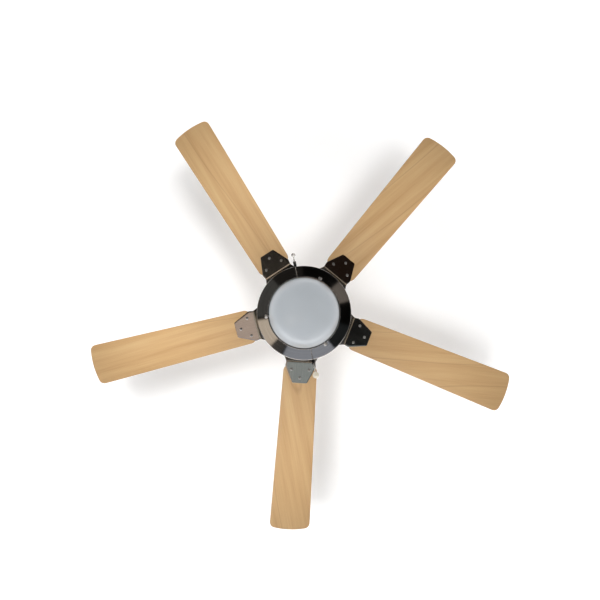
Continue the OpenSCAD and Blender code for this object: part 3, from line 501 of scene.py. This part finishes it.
outside = bowl_arc(bowl_r, dome_low, 56)
inside = bowl_arc(bowl_r - glass_t, dome_low + glass_t, 40)[::-1]
shoulder = soften([
    (bowl_r, dome_z), (bowl_r - 0.2, dome_z + 2.2), (neck_r, dome_z + 3.4), (neck_r, bowl_top),
    (neck_r - glass_t, bowl_top), (neck_r - glass_t, dome_z + 3), (bowl_r - glass_t, dome_z)],
    cut=[0, 1, 1, 1.2, 1.2, 1.2, 0], steps=6, closed=False)
outside[0, 0] = inside[-1, 0] = 0
bowl_profile = np.concatenate([outside[:-1], shoulder, inside[1:]])

opal, tree, shader = new_finish("opal_glass_blown")
coords = here(tree)
cloud = noise(tree, coords, 9.0, 1.0)
tint(tree, shader, cloud, [(0.3, "#bcc2c7"), (0.7, "#c1c7cc")])
gloss(tree, shader, cloud, 0.12, 0.2)
wave = noise(tree, coords, 22.0, 0.0)
relief(tree, shader, wave, 0.0003, 0.25)
shader.inputs["IOR"].default_value = 1.52
piece("glass_bowl_blown", [lathe(bowl_profile, 160)], opal, "fan_frame", ["glass_bowl"], sharp=50)

# %% [markdown]
# ## Boards and straps
#
# A blade and its iron are both flat boards with an outline and a thickness. A board is made by carrying
# its edge's cross-section round the outline: from a line along the middle of the top face, out to the
# edge, round it, and back along the bottom. The iron is then bent: each slice across it sinks and turns
# by a share that grows from the motor's pads to the fold.

# %% A board from its outline
def board(outline, thick, edge, spine, count=420, rows=4):
    """A board of an outline in the (x, y) plane, centred on z = 0, with edges rounded to radius `edge`.

    The outline is resampled to `count` points O(s) with outward normals N(s). The spine point S(s) is
    (x of O, kept between the two ends of `spine`; 0). A face point is S + q (O - edge N - S), and an
    edge point O - edge N + edge (cos b N + sin b Z). UV is (x, y) in metres. All lengths are in mm.
    """
    ring = np.concatenate([outline, outline[:1]])
    run = np.concatenate([[0], np.cumsum(np.linalg.norm(np.diff(ring, axis=0), axis=1))])
    s = np.linspace(0, run[-1], count + 1)
    o = np.stack([np.interp(s, run, ring[:, 0]), np.interp(s, run, ring[:, 1])], -1)
    o[-1] = o[0]
    step = np.roll(o[:-1], -1, 0) - np.roll(o[:-1], 1, 0)
    n = np.stack([step[:, 1], -step[:, 0]], -1) / np.linalg.norm(step, axis=1)[:, None]
    n = np.concatenate([n, n[:1]])
    core = o - edge * n
    mid = np.stack([np.clip(o[:, 0], *spine), 0 * s], -1)
    q = np.linspace(0, 1, rows + 1)[:-1, None, None]
    flat = mid + q * (core - mid)
    b = np.linspace(0, np.pi / 2, 5)[:, None, None]
    rim = core + edge * np.cos(b) * n
    rim_z = thick / 2 - edge + edge * np.sin(b[:, 0, 0])
    xy = np.concatenate([flat, rim[::-1], rim, flat[::-1]])
    z = np.concatenate([np.full(rows, thick / 2), rim_z[::-1], -rim_z, np.full(rows, -thick / 2)])
    xyz = np.concatenate([xy, np.broadcast_to(z[:, None, None], xy.shape[:2] + (1,))], -1)[::-1] * MM
    return xyz, xyz[..., :2].copy()


# %% Where the five blades stand
pitch, blade_z = math.radians(4), -0.261
blade_ways = first_blade + np.arange(5) * 2 * math.pi / 5


def pitched(points):
    """Turns points by the pitch about the blade's long axis and lifts them to the blades' height."""
    x, y, z = np.moveaxis(points, -1, 0)
    c, s = math.cos(pitch), math.sin(pitch)
    return np.stack([x, y * c + z * s, blade_z - y * s + z * c], -1)


def about_z(points, angle):
    """Turns points about the fan's axis."""
    x, y, z = np.moveaxis(points, -1, 0)
    c, s = math.cos(angle), math.sin(angle)
    return np.stack([c * x - s * y, s * x + c * y, z], -1)


# %% The blade's outline, in mm along and across
root_r, tip_r = 158.0, 660.0
slope, half_at_118 = 11 / 542, 50.0
arc_x, arc_r, corner_r = 409.5, 250.0, 17.0
# The corner's circle touches the tip's arc from inside and the side's line from below, so its centre
# lies arc_r - corner_r from the arc's centre and corner_r under the line: a quadratic in x.
under = half_at_118 + slope * (arc_x - 118) - corner_r * math.hypot(1, slope)
qa, qb, qc = 1 + slope ** 2, 2 * slope * under, under ** 2 - (arc_r - corner_r) ** 2
reach = (-qb + math.sqrt(qb ** 2 - 4 * qa * qc)) / (2 * qa)
corner = np.array([arc_x + reach, under + slope * reach])
meet, square_on = math.atan2(corner[1], reach), math.pi / 2 + math.atan(slope)


def arc(centre, r, start, end, steps):
    """Points on a circle: centre + r (cos a, sin a), for a from start to end."""
    a = np.linspace(start, end, steps)
    return np.asarray(centre) + r * np.stack([np.cos(a), np.sin(a)], -1)


root_half = half_at_118 + slope * (root_r - 118)
tip = np.concatenate([
    arc(corner * [1, -1], corner_r, -square_on, -meet, 12), arc((arc_x, 0), arc_r, -meet, meet, 14)[1:-1],
    arc(corner, corner_r, meet, square_on, 12)])
outline = np.concatenate([tip, [[root_r, root_half], [root_r, -root_half]]])
blade_outline = soften(outline, np.concatenate([np.zeros(len(tip)), [20, 20]]), steps=9)
print("blade from", blade_outline.min(0).round(1), "to", blade_outline.max(0).round(1), "mm")

# %% [markdown]
# ## Beech veneer
#
# The blades are fibreboard with a pale beech face under a satin lacquer. Beech is even and warm, with
# straight fibres, soft growth bands a few centimetres wide, and many short dark flecks, each a few
# millimetres long. Each sheet of veneer is cut at its own slant, so a blade's UV map is turned and moved
# before the one material reads it, and no two blades look alike.

# %% Beech, from three noises
beech, tree, shader = new_finish("beech_veneer_lacquered")
sheet_uv = add(tree, "TexCoord").outputs["UV"]


def fibres(scale_along, scale_across, detail):
    """A noise that is long in the direction of the grain: cells per metre along and across it."""
    place = add(tree, "Mapping", {"Vector": sheet_uv, "Scale": (scale_along, scale_across, 1)})
    return noise(tree, place.outputs[0], 1.0, detail, Roughness=0.55)


bands = fibres(2.2, 42, 2.0)
threads = fibres(9, 520, 4.0)
flecks = fibres(240, 1500, 1.0)
tone = add(tree, "Math", {0: bands, 1: 0.62}, operation="MULTIPLY").outputs[0]
tone = add(tree, "Math", {0: threads, 1: 0.38, 2: tone}, operation="MULTIPLY_ADD").outputs[0]
wood = ramp(tree, tone, [
    (0.28, "#a57f4f"), (0.42, "#b28e5f"), (0.55, "#ba9768"), (0.70, "#c1a173")])
fleck = add(tree, "MapRange", {"Value": flecks, 1: 0.66, 2: 0.74, 3: 0.0, 4: 0.35}).outputs[0]
wood = add(tree, "MixRGB", {"Fac": fleck, 1: wood, 2: linear("#8f6b41")}).outputs[0]
# A growth line is where one slow noise crosses its middle: a thin dark stroke along the grain.
season = fibres(1.3, 11, 0.0)
near = add(tree, "Math", {0: season, 1: 0.5}, operation="SUBTRACT").outputs[0]
near = add(tree, "Math", {0: near}, operation="ABSOLUTE").outputs[0]
stroke = add(tree, "MapRange", {"Value": near, 1: 0.0, 2: 0.012, 3: 0.45, 4: 0.0}).outputs[0]
wood = add(tree, "MixRGB", {"Fac": stroke, 1: wood, 2: linear("#8e6d44")}).outputs[0]
tree.links.new(wood, shader.inputs["Base Color"])
gloss(tree, shader, threads, 0.38, 0.5)
relief(tree, shader, threads, 0.00005, 0.5)
shader.inputs["Coat Weight"].default_value = 0.25
shader.inputs["Coat Roughness"].default_value = 0.3
print("beech nodes", len(tree.nodes))

# %% The five blades
veneer_slant = np.radians([-17, -14, -1.5, 0.5, 10])
blade_flat, blade_uv = board(blade_outline, 6, 1.8, (root_r + 48, tip_r - 58), 480)
for i in range(5):
    c, s = math.cos(veneer_slant[i]), math.sin(veneer_slant[i])
    u, v = blade_uv[..., 0] - 0.4, blade_uv[..., 1]
    cut = np.stack([c * u + s * v + 1.7 * i, c * v - s * u + 0.31 * i], -1)
    shape = about_z(pitched(blade_flat), blade_ways[i])
    piece(f"blade_board_{i + 1}", [(shape, cut)], beech, "rotor", [f"blade_{i + 1}"], sharp=60)

# %% The irons, bent from the flat
iron_t, pads_z = 0.0025, -0.248
strap = soften([
    (71, -34), (100, -34), (126, -55), (148, -44), (162, -46.5), (213, -22.5),
    (213, 22.5), (162, 46.5), (148, 44), (126, 55), (100, 34), (71, 34)],
    cut=[2, 6, 7, 3, 3, 3, 3, 3, 3, 7, 6, 2], steps=6)
strap_flat, strap_uv = board(strap, 2.5, 0.5, (85, 203), 520, rows=7)


def bent(points):
    """Bends the flat strap. The share is a ramp from 0 at 100 mm to 1 at the fold, 148 mm, with soft ends.

    A ramp with soft ends is (g(x - 100) - g(x - 148)) / 48, where g(d) = w log(1 + e^(d / w)) and w is
    the bend's size. The slice at x turns by share * pitch and sinks by share * 13 mm.
    """
    x, y, z = np.moveaxis(points, -1, 0)
    soft = 0.0012
    rise, stop = (soft * np.logaddexp(0, (x - edge) / soft) for edge in (0.100, 0.148))
    share = (rise - stop) / 0.048
    z = z - 0.003 * share - iron_t / 2
    c, s = np.cos(pitch * share), np.sin(pitch * share)
    return np.stack([x, y * c + z * s, pads_z + (blade_z - pads_z) * share - y * s + z * c], -1)


for i in range(5):
    shape = about_z(bent(strap_flat), blade_ways[i])
    piece(f"iron_strap_{i + 1}", [(shape, strap_uv + [0, 0.13 * i])], iron_nickel, "rotor",
        [f"iron_{i + 1}"], sharp=50)

# %% [markdown]
# ## Screws
#
# A pan-head screw is one profile: shank, flat underside, low dome. The cross in its head is pressed in,
# so the dome's points sink wherever they lie in the cross. One screw's grid is then placed many times.

# %% Plated steel for screws
screw_steel, tree, shader = new_finish("nickel_plated_screw_steel")
wear = noise(tree, here(tree), 600.0, 3.0)
tint(tree, shader, wear, [(0.3, "#b3b0ab"), (0.7, "#d6d3ce")])
gloss(tree, shader, wear, 0.22, 0.42)
shader.inputs["Metallic"].default_value = 1.0


# %% One screw, and many
def screw(shank_r, shank_l, head_r, head_h):
    """A screw on the Z axis with its head's underside at z = 0, in mm.

    The head's dome is (R cos t, h (0.35 + 0.65 sin t)). Inside the cross, |x| or |y| < 0.14 R and
    both < 0.6 R, a point sinks by 0.45 h, with a slope 0.1 R wide.
    """
    t = np.linspace(0, np.pi / 2, 16)
    dome = np.stack([head_r * np.cos(t), head_h * (0.35 + 0.65 * np.sin(t))], -1)
    dome[-1, 0] = 0
    stem = [(0, -shank_l), (shank_r * 0.7, -shank_l), (shank_r, -shank_l + 0.7), (shank_r, 0),
        (head_r - 0.15, 0), (head_r, 0.15)]
    points, uv = lathe(np.concatenate([stem, dome]), 40)
    across = np.abs(points[..., :2]) / (head_r * MM)
    inside = np.clip((0.19 - across.min(-1)) / 0.1, 0, 1) * np.clip((0.65 - across.max(-1)) / 0.1, 0, 1)
    points[..., 2] -= 0.45 * head_h * MM * inside * (points[..., 2] > 0.2 * head_h * MM)
    return points, uv


def screws(name, kind, axes, spots, body, nodes):
    """Places one kind of screw at each spot, along its axis, each turned a little further than the last."""
    grids = [placed(kind, axis, at, 0.7 + 2.4 * k) for k, (axis, at) in enumerate(zip(axes, spots))]
    return piece(name, grids, screw_steel, body, nodes, sharp=30)


pads = np.stack([about_z(np.array([0.083, s * 0.018, pads_z - iron_t]), w) for w in blade_ways for s in (-1, 1)])
screws("iron_pan_screws", screw(2.5, 11.5, 4.4, 3), [(0, 0, -1)] * 10, pads, "rotor", ["iron_screws"])
holes = np.array([[171.5, 27.1, -5.5], [171.5, -27.1, -5.5], [197, 0, -5.5]]) * MM
below = pitched(np.array([[0, 0, -1.0], [0, 0, 0]]))
below = below[0] - below[1]
spots = np.concatenate([about_z(pitched(holes), w) for w in blade_ways])
axes = np.concatenate([np.tile(about_z(below, w), (3, 1)) for w in blade_ways])
screws("blade_pan_screws", screw(2, 6.5, 4.2, 2.2), axes, spots, "rotor", ["blade_screws"])
walls_at = np.radians([45, 165, 285, 45, 165, 285])
axes = np.stack([np.cos(walls_at), np.sin(walls_at), 0 * walls_at], -1)
spots = 0.1281 * axes + np.array([[0, 0, -0.280]] * 3 + [[0, 0, -0.329]] * 3)
screws("side_pan_screws", screw(2, 6, 3.8, 2.2), axes, spots, "fan_frame", ["side_screws"])
axes = np.array([[0, -1.0, 0], [0, 1.0, 0]])
spots = 0.06814 * axes + [0, 0, -0.020]
screws("canopy_pan_screws", screw(2, 9.8, 4, 2.4), axes, spots, "ceiling_bracket", ["canopy_screws"])


# %% Thumbscrews with a straight knurl
def thumbscrew():
    """A shank and a drum-shaped head whose radius swings by 4% round its axis: r (1 - 0.04 cos 20 a)."""
    head = soften([(2, 5.5), (5.2, 5.5), (5.2, 12.5), (0, 12.5)], cut=[0, 0.5, 0.7, 0], steps=6, closed=False)
    points, uv = lathe(np.concatenate([[(0, 0), (1.6, 0), (2, 0.5)], head]), 120)
    a = uv[..., 0] * 2 * np.pi
    swing = 1 - 0.04 * (1 - np.cos(20 * a)) * ((uv[..., 1] > 0.0105) & (uv[..., 1] < 0.0170))
    points[..., :2] *= swing[..., None]
    return points, uv


thumb_z = -0.3511
for k, letter in enumerate("abc"):
    way_out = np.radians(65.7 + 120 * k)
    axis = np.array([math.cos(way_out), math.sin(way_out), 0])
    grid = placed(thumbscrew(), axis, 0.0993 * axis + [0, 0, thumb_z])
    piece(f"knurled_thumbscrew_{k + 1}", [grid], screw_steel, f"thumbscrew_{letter}",
        [f"thumbscrew_{k + 1}"], sharp=25)

# %% [markdown]
# ## Bead chains
#
# A pull chain is a string of hollow steel beads, 3.2 mm across, joined by short dumb-bell links. It hangs
# straight, so the whole chain is one surface of revolution about a plumb line: the radius swells at each
# bead and narrows to the link between two. A few dozen faces a bead are plenty. One chain ends in a steel
# ball and works the fan's speeds; the longer one ends in a turned pull and works the light.

# %% Nickel-plated steel beads
bead_steel, tree, shader = new_finish("nickel_plated_bead_chain")
tarnish = noise(tree, here(tree), 160.0, 3.0)
tint(tree, shader, tarnish, [(0.35, "#bdb9b2"), (0.65, "#e2dfd9")])
gloss(tree, shader, tarnish, 0.2, 0.34)
shader.inputs["Metallic"].default_value = 0.7

# %% A chain between two heights
chain_x, bead_r, bead_pitch = 0.149, 1.6, 4.1


def bead_profile(low, high):
    """Beads of radius R every pitch or so from low to high: bead k is (R cos t, z_k + R sin t)."""
    count = round((high - low) / bead_pitch)
    middle = low + (np.arange(count) + 0.5) * (high - low) / count
    t = np.radians([-70, -45, -15, 15, 45, 70])
    beads = np.stack([np.broadcast_to(bead_r * np.cos(t), (count, 6)), middle[:, None] + bead_r * np.sin(t)], -1)
    return np.concatenate([[(0, low), (0.55, low)], beads.reshape(-1, 2), [(0.55, high), (0, high)]])


def moved(grid, at):
    """Moves a grid without turning it."""
    return grid[0] + np.asarray(at, float), grid[1]


def chain(name, side, low, high, body, node):
    """A bead chain at (0, side, z) that hangs from its nozzle's mouth; returns the piece and its plumb line of 24
    points.
    """
    grid = moved(lathe(bead_profile(low / MM, high / MM), 8), (0, side, 0))
    obj = piece(name, [grid], bead_steel, body, [node], sharp=80)
    line = [(0, side, z) for z in np.linspace(high, low, 24)]
    return obj, line


speed_low, speed_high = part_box("speed_chain")
light_low, light_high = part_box("light_chain")
speed_chain, speed_line = chain("speed_bead_chain", -chain_x, speed_low.z, speed_high.z, "speed_pull", "speed_chain")
light_chain, light_line = chain("light_bead_chain", chain_x, light_low.z, light_high.z, "light_pull", "light_chain")

# %% The ball and the turned pull
ball_low, ball_high = (b.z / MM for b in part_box("speed_chain_ball"))
ball_r = 5.5
t = np.linspace(-np.pi / 2, math.acos(2.2 / ball_r), 18)
ball = np.stack([ball_r * np.cos(t), ball_low + ball_r + ball_r * np.sin(t)], -1)
ball[0, 0] = 0
neck = soften([(2.2, ball_high - 4.4), (2.2, ball_high), (0, ball_high)], cut=[0, 0.6, 0], closed=False)
end_ball = piece("speed_end_ball", [moved(lathe(np.concatenate([ball, neck]), 40), (0, -chain_x, 0))],
    bead_steel, "speed_pull", ["speed_chain_ball"])

wood_pull, tree, shader = new_finish("painted_beech_pull")
coords = here(tree)
cell = add(tree, "Mapping", {"Vector": coords, "Scale": (900, 900, 120)})
brush = noise(tree, cell.outputs[0], 1.0, 2.0)
tint(tree, shader, brush, [(0.3, "#d9d0bd"), (0.7, "#ece4d3")])
shader.inputs["Roughness"].default_value = 0.38
relief(tree, shader, brush, 0.00008, 0.5)
pull_low, pull_high = (b.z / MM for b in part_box("light_chain_pendant"))
t = np.linspace(0, 1, 40)
turned = np.stack([np.maximum(1.6, 7.5 * np.sin(np.pi * t ** 0.7)), pull_low + (pull_high - pull_low) * t], -1)
pull = np.concatenate([[(0, pull_low)], turned, [(0, pull_high)]])
pendant = piece("light_turned_pull", [moved(lathe(pull, 40), (0, chain_x, 0))],
    wood_pull, "light_pull", ["light_chain_pendant"])

# %% The two chains' lengths
print("chains", round(speed_high.z - speed_low.z, 4), round(light_high.z - light_low.z, 4), "m")

# %% [markdown]
# ## Where the chains come out
#
# Each chain leaves the housing through a bent steel spout with a blackened finish. A tube along a bend is
# a circle carried along a path: out through the wall, a quarter turn of 8 mm radius, and down. The mouth
# is flared a little, so that the beads don't catch, and the bore runs back along the same path.

# %% Blackened steel
blackened, tree, shader = new_finish("black_oxide_steel")
rub = noise(tree, here(tree), 220.0, 4.0)
tint(tree, shader, rub, [(0.4, "#141414"), (0.75, "#3a3937")])
gloss(tree, shader, rub, 0.3, 0.5)
shader.inputs["Metallic"].default_value = 0.6

# %% Two spouts, each with its six-sided nut
wall_x, stub, bend, spout = 0.130, 0.011, 0.008, 0.016
nozzle_z = -0.305


def spout_grids(side):
    """The spout on the housing's +Y or -Y side. The path lies in the plane x = 0."""
    turn = np.linspace(0, np.pi / 2, 14)
    out = np.concatenate([np.linspace(wall_x, wall_x + stub, 5)[:-1], wall_x + stub + bend * np.sin(turn),
        np.full(10, wall_x + stub + bend)])
    z = np.concatenate([np.full(4, nozzle_z), nozzle_z - bend + bend * np.cos(turn),
        nozzle_z - bend - np.linspace(0, spout, 11)[1:]])
    path = np.stack([0 * out, side * out, z], -1)
    last = len(path) - 1
    rings = np.concatenate([np.arange(last), [last - 1, last, last, last], np.arange(last)[::-1], [0]])
    wide = np.concatenate([np.full(last, 4.3), [4.5, 4.5, 4.3, 2.9], np.full(last, 2.6), [4.3]]) * MM
    tube = sweep(path, (side, 0, 0), rings, wide, 32)
    corner = np.radians(np.arange(7) * 60 + 30)
    hexagon = np.stack([7 * np.cos(corner), 7 * np.sin(corner)], -1) * MM
    scale = np.array([0.63, 0.93, 1, 1, 0.93, 0.63])[:, None, None]
    rise = np.array([0, 0, 0.35, 1.65, 2.0, 2.0]) * MM
    nut = np.concatenate([scale * hexagon, np.broadcast_to(rise[:, None, None], (6, 7, 1))], -1)
    nut = np.concatenate([nut, nut[:1]])
    return [tube, placed((nut, nut[..., :2] * 1.0), (0, side, 0), (0, side * wall_x, nozzle_z))]


piece("chain_spouts", spout_grids(-1) + spout_grids(1), blackened, "fan_frame",
    ["chain_nozzles"], sharp=30)

# %% [markdown]
# ## Canopy, coupling cover and motor housing
#
# These covers are spun from one sheet each, so each is a closed profile of its two faces, turned about
# Z. Their domes are quarter ellipses. A spun edge is never sharp, so each rim is rounded over most of
# the sheet's thickness, and the motor's two shells meet in a fine shadow line.

# %% A dome's two faces
def dome(inner_r, outer_r, foot, rise, sheet, steps=40):
    """Both faces of a dome from its foot up: (inner_r + (outer_r - inner_r) cos t, foot + rise sin t).

    The inner face is the same curve with radius and rise smaller by the sheet's thickness. Negative
    `rise` hangs the dome below its foot. Returns the outer face and the inner face, foot to top.
    """
    t = np.linspace(0, np.pi / 2, steps)
    thin = math.copysign(sheet, rise)
    outer = np.stack([inner_r + (outer_r - inner_r) * np.cos(t), foot + rise * np.sin(t)], -1)
    inner = np.stack([inner_r + (outer_r - sheet - inner_r) * np.cos(t), foot + (rise - thin) * np.sin(t)], -1)
    return outer, inner


# %% Coupling cover over the rod's lower end
cover_low, cover_high = (b.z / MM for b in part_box("coupling_cover"))
outer, inner = dome(13.65, 50, cover_low, cover_high - cover_low, 1.5)
piece("coupling_bell", [lathe(closed(np.concatenate([outer, inner[::-1]])))], housing_nickel,
    "fan_frame", ["coupling_cover"])

# %% Motor housing: the domed shell and the band under it
top_z, seam_z, band_z = -161.0, -195.0, -245.0
outer, inner = dome(58, 136, seam_z, top_z - seam_z, 1.5)
outer = np.concatenate([[(134.6, seam_z + 0.15), (135.6, seam_z + 0.2), (136, seam_z + 0.9)], outer[1:]])
shell = np.concatenate([outer, [(8.5, top_z), (8.5, top_z - 1.5)], inner[::-1]])
piece("motor_shell_upper", [lathe(closed(shell), 160)], housing_nickel,
    "fan_frame", ["motor_housing_upper"])
band = soften([
    (108, band_z), (136, band_z), (136, seam_z - 0.3), (134.5, seam_z - 0.3), (134.5, seam_z - 0.1),
    (133, seam_z - 0.1), (133, seam_z - 6), (134.5, seam_z - 6.1), (134.5, band_z + 1.5), (108, band_z + 1.5)],
    cut=[0.5, 5, 0.7, 0.1, 0.1, 0.3, 0.3, 0.1, 2, 0.5], steps=7)
piece("motor_shell_lower", [lathe(closed(band), 160)], housing_nickel,
    "fan_frame", ["motor_housing_lower"])

# %% Canopy against the ceiling, without screw holes; its two screws are pieces of their own
canopy_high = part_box("canopy")[1]
canopy_r, rim_z, bend_z = canopy_high.x / MM, canopy_high.z / MM, -49.0
t = np.linspace(np.arccos(17.03 / canopy_r), 0, 36)
outer = np.stack([canopy_r * np.cos(t), bend_z - 27 * np.sin(t)], -1)
inner_r = canopy_r - 1.2
t = np.linspace(0, np.arccos(17.03 / inner_r), 36)
inner = np.stack([inner_r * np.cos(t), bend_z - 25.8 * np.sin(t)], -1)
rim = soften([(canopy_r, bend_z), (canopy_r, rim_z), (inner_r, rim_z), (inner_r, bend_z)],
    cut=[0, 0.5, 0.5, 0], closed=False)
piece("canopy_spun", [lathe(closed(np.concatenate([outer[:-1], rim, inner[1:]])))], housing_nickel,
    "ceiling_bracket", ["canopy"])

# %% [markdown]
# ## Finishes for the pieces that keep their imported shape
#
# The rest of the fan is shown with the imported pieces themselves: stampings, castings, moulded nylon and
# wound copper. Each gets the finish of its own material. Their meshes carry no UV map, so every pattern
# reads the Object coordinates, in metres.

# %% A finish from one noise
def grained(name, dark, light, cells, rough, bump_mm, metallic=0.0, stretch=(1, 1, 1), detail=3.0):
    """Two close colours, a range of roughness and a relief from one noise of `cells` per metre.

    `stretch` multiplies the cells along each axis, for turned, drawn and stacked surfaces.
    """
    finish, tree, shader = new_finish(name)
    place = add(tree, "Mapping", {"Vector": here(tree), "Scale": stretch})
    grains = noise(tree, place.outputs[0], cells, detail)
    tint(tree, shader, grains, [(0.35, dark), (0.65, light)])
    gloss(tree, shader, grains, *rough, start=0.3, end=0.7)
    relief(tree, shader, grains, bump_mm * MM, 0.7)
    shader.inputs["Metallic"].default_value = metallic
    return finish


def dress(finish, *nodes):
    """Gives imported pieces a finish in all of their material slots."""
    for name in nodes:
        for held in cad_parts[name].material_slots:
            held.material = finish
    print(finish.name, "on", ", ".join(nodes))


# %% Steel, iron and aluminium
zinc = grained("zinc_plated_sheet_steel", "#8f9296", "#b3b5b6", 70, (0.32, 0.46), 0.01, 1.0, detail=5.0)
dress(zinc, "hanger_bracket", "switch_plate", "lamp_bracket")
drawn = grained("drawn_nickel_tube", "#8f8b86", "#a8a49e", 30, (0.2, 0.32), 0.01, 1.0, stretch=(1, 1, 30))
dress(drawn, "downrod")
wall_nickel = grained("spun_nickel_wall", "#8f8b86", "#a8a49e", 12, (0.2, 0.32), 0.0015, 1.0,
    stretch=(1, 1, 110))
dress(wall_nickel, "switch_housing")
cast_iron = grained("sand_cast_iron_painted", "#3a3c3e", "#4d4f51", 900, (0.5, 0.7), 0.06, 0.3)
dress(cast_iron, "yoke")
ground = grained("ground_bearing_steel", "#a3a5a8", "#c5c6c8", 40, (0.16, 0.3), 0.004, 1.0, stretch=(1, 1, 25))
dress(ground, "shaft", "shaft_nut", "bearing_inner_rings", "bearing_outer_rings",
    "ball_pin", "clevis_pin", "cotter_pin", "yoke_screws")
dress(screw_steel, "housing_screws", "bell_screws")
die_cast = grained("die_cast_aluminium", "#a9abad", "#c6c8ca", 260, (0.38, 0.55), 0.03, 1.0)
dress(die_cast, "bell_upper", "bell_lower")
# Laminations are 0.5 mm sheets in a stack: their edges show as lines across Z.
laminated = grained("laminated_core_steel", "#5f5d5b", "#85827f", 20, (0.35, 0.5), 0.05, 0.9,
    stretch=(1, 1, 60), detail=0.0)
dress(laminated, "stator_core", "rotor_core")

# %% Copper wound in a ring
copper, tree, shader = new_finish("enamelled_copper_winding")
coords = here(tree)
# The wire is 0.6 mm thick and runs round Z, so turns show as rings in radius.
turns = add(tree, "TexWave", {"Vector": coords, "Scale": 260.0, "Distortion": 1.5, "Detail": 1.0},
    wave_type="RINGS", rings_direction="Z").outputs["Fac"]
tint(tree, shader, turns, [(0.1, "#5e2c14"), (0.8, "#b96a3a")])
relief(tree, shader, turns, 0.0003, 0.8)
shader.inputs["Metallic"].default_value = 0.85
shader.inputs["Roughness"].default_value = 0.35
dress(copper, "windings")

# %% Nylon, moulded plastics and fired or blown parts
dress(grained("moulded_acetal_ball", "#2b2c2e", "#383a3c", 1400, (0.4, 0.55), 0.02), "hanger_ball")
dress(grained("moulded_nylon_orange", "#d9641c", "#e8792c", 900, (0.42, 0.55), 0.03, stretch=(1, 1, 0.3)), "wire_nuts")
dress(grained("moulded_nylon_natural", "#ddd6c2", "#e8e2d1", 1100, (0.4, 0.52), 0.02), "chain_switches")
dress(grained("moulded_phenolic_black", "#151515", "#222222", 1300, (0.35, 0.5), 0.02),
    "reverse_switch", "reverse_slider")
dress(grained("capacitor_case_polypropylene", "#1b1c1f", "#27292c", 1500, (0.45, 0.6), 0.03), "capacitor")
dress(grained("glazed_porcelain_holder", "#ece9e2", "#f4f2ed", 120, (0.12, 0.2), 0.02), "lampholders")
dress(grained("frosted_lamp_glass", "#eceae6", "#f5f4f1", 800, (0.3, 0.42), 0.01), "lamps")

# %% Three wires, each its own colour
wires, tree, shader = new_finish("pvc_insulated_wire")
spot = add(tree, "SeparateXYZ", {0: here(tree)})
# The three wires keep to their own side of the axis, so the bearing about Z tells them apart.
bearing = add(tree, "Math", {0: spot.outputs["Y"], 1: spot.outputs["X"]}, operation="ARCTAN2").outputs[0]
share = add(tree, "MapRange", {"Value": bearing, 1: -math.pi, 2: math.pi}).outputs[0]
sleeves = ramp(tree, share, [
    (0.0, "#2d55b8"), (0.25, "#1c1c1d"), (0.75, "#e9e8e4"), (0.98, "#2d55b8")], "CONSTANT")
scuff = noise(tree, here(tree), 700.0)
worn = add(tree, "MapRange", {"Value": scuff, 1: 0.4, 2: 0.7, 3: 0.0, 4: 0.12}).outputs[0]
faded = add(tree, "MixRGB", {"Fac": worn, 1: sleeves, 2: linear("#9a9a9a")})
tree.links.new(faded.outputs[0], shader.inputs["Base Color"])
shader.inputs["Roughness"].default_value = 0.42
dress(wires, "lead_wires")
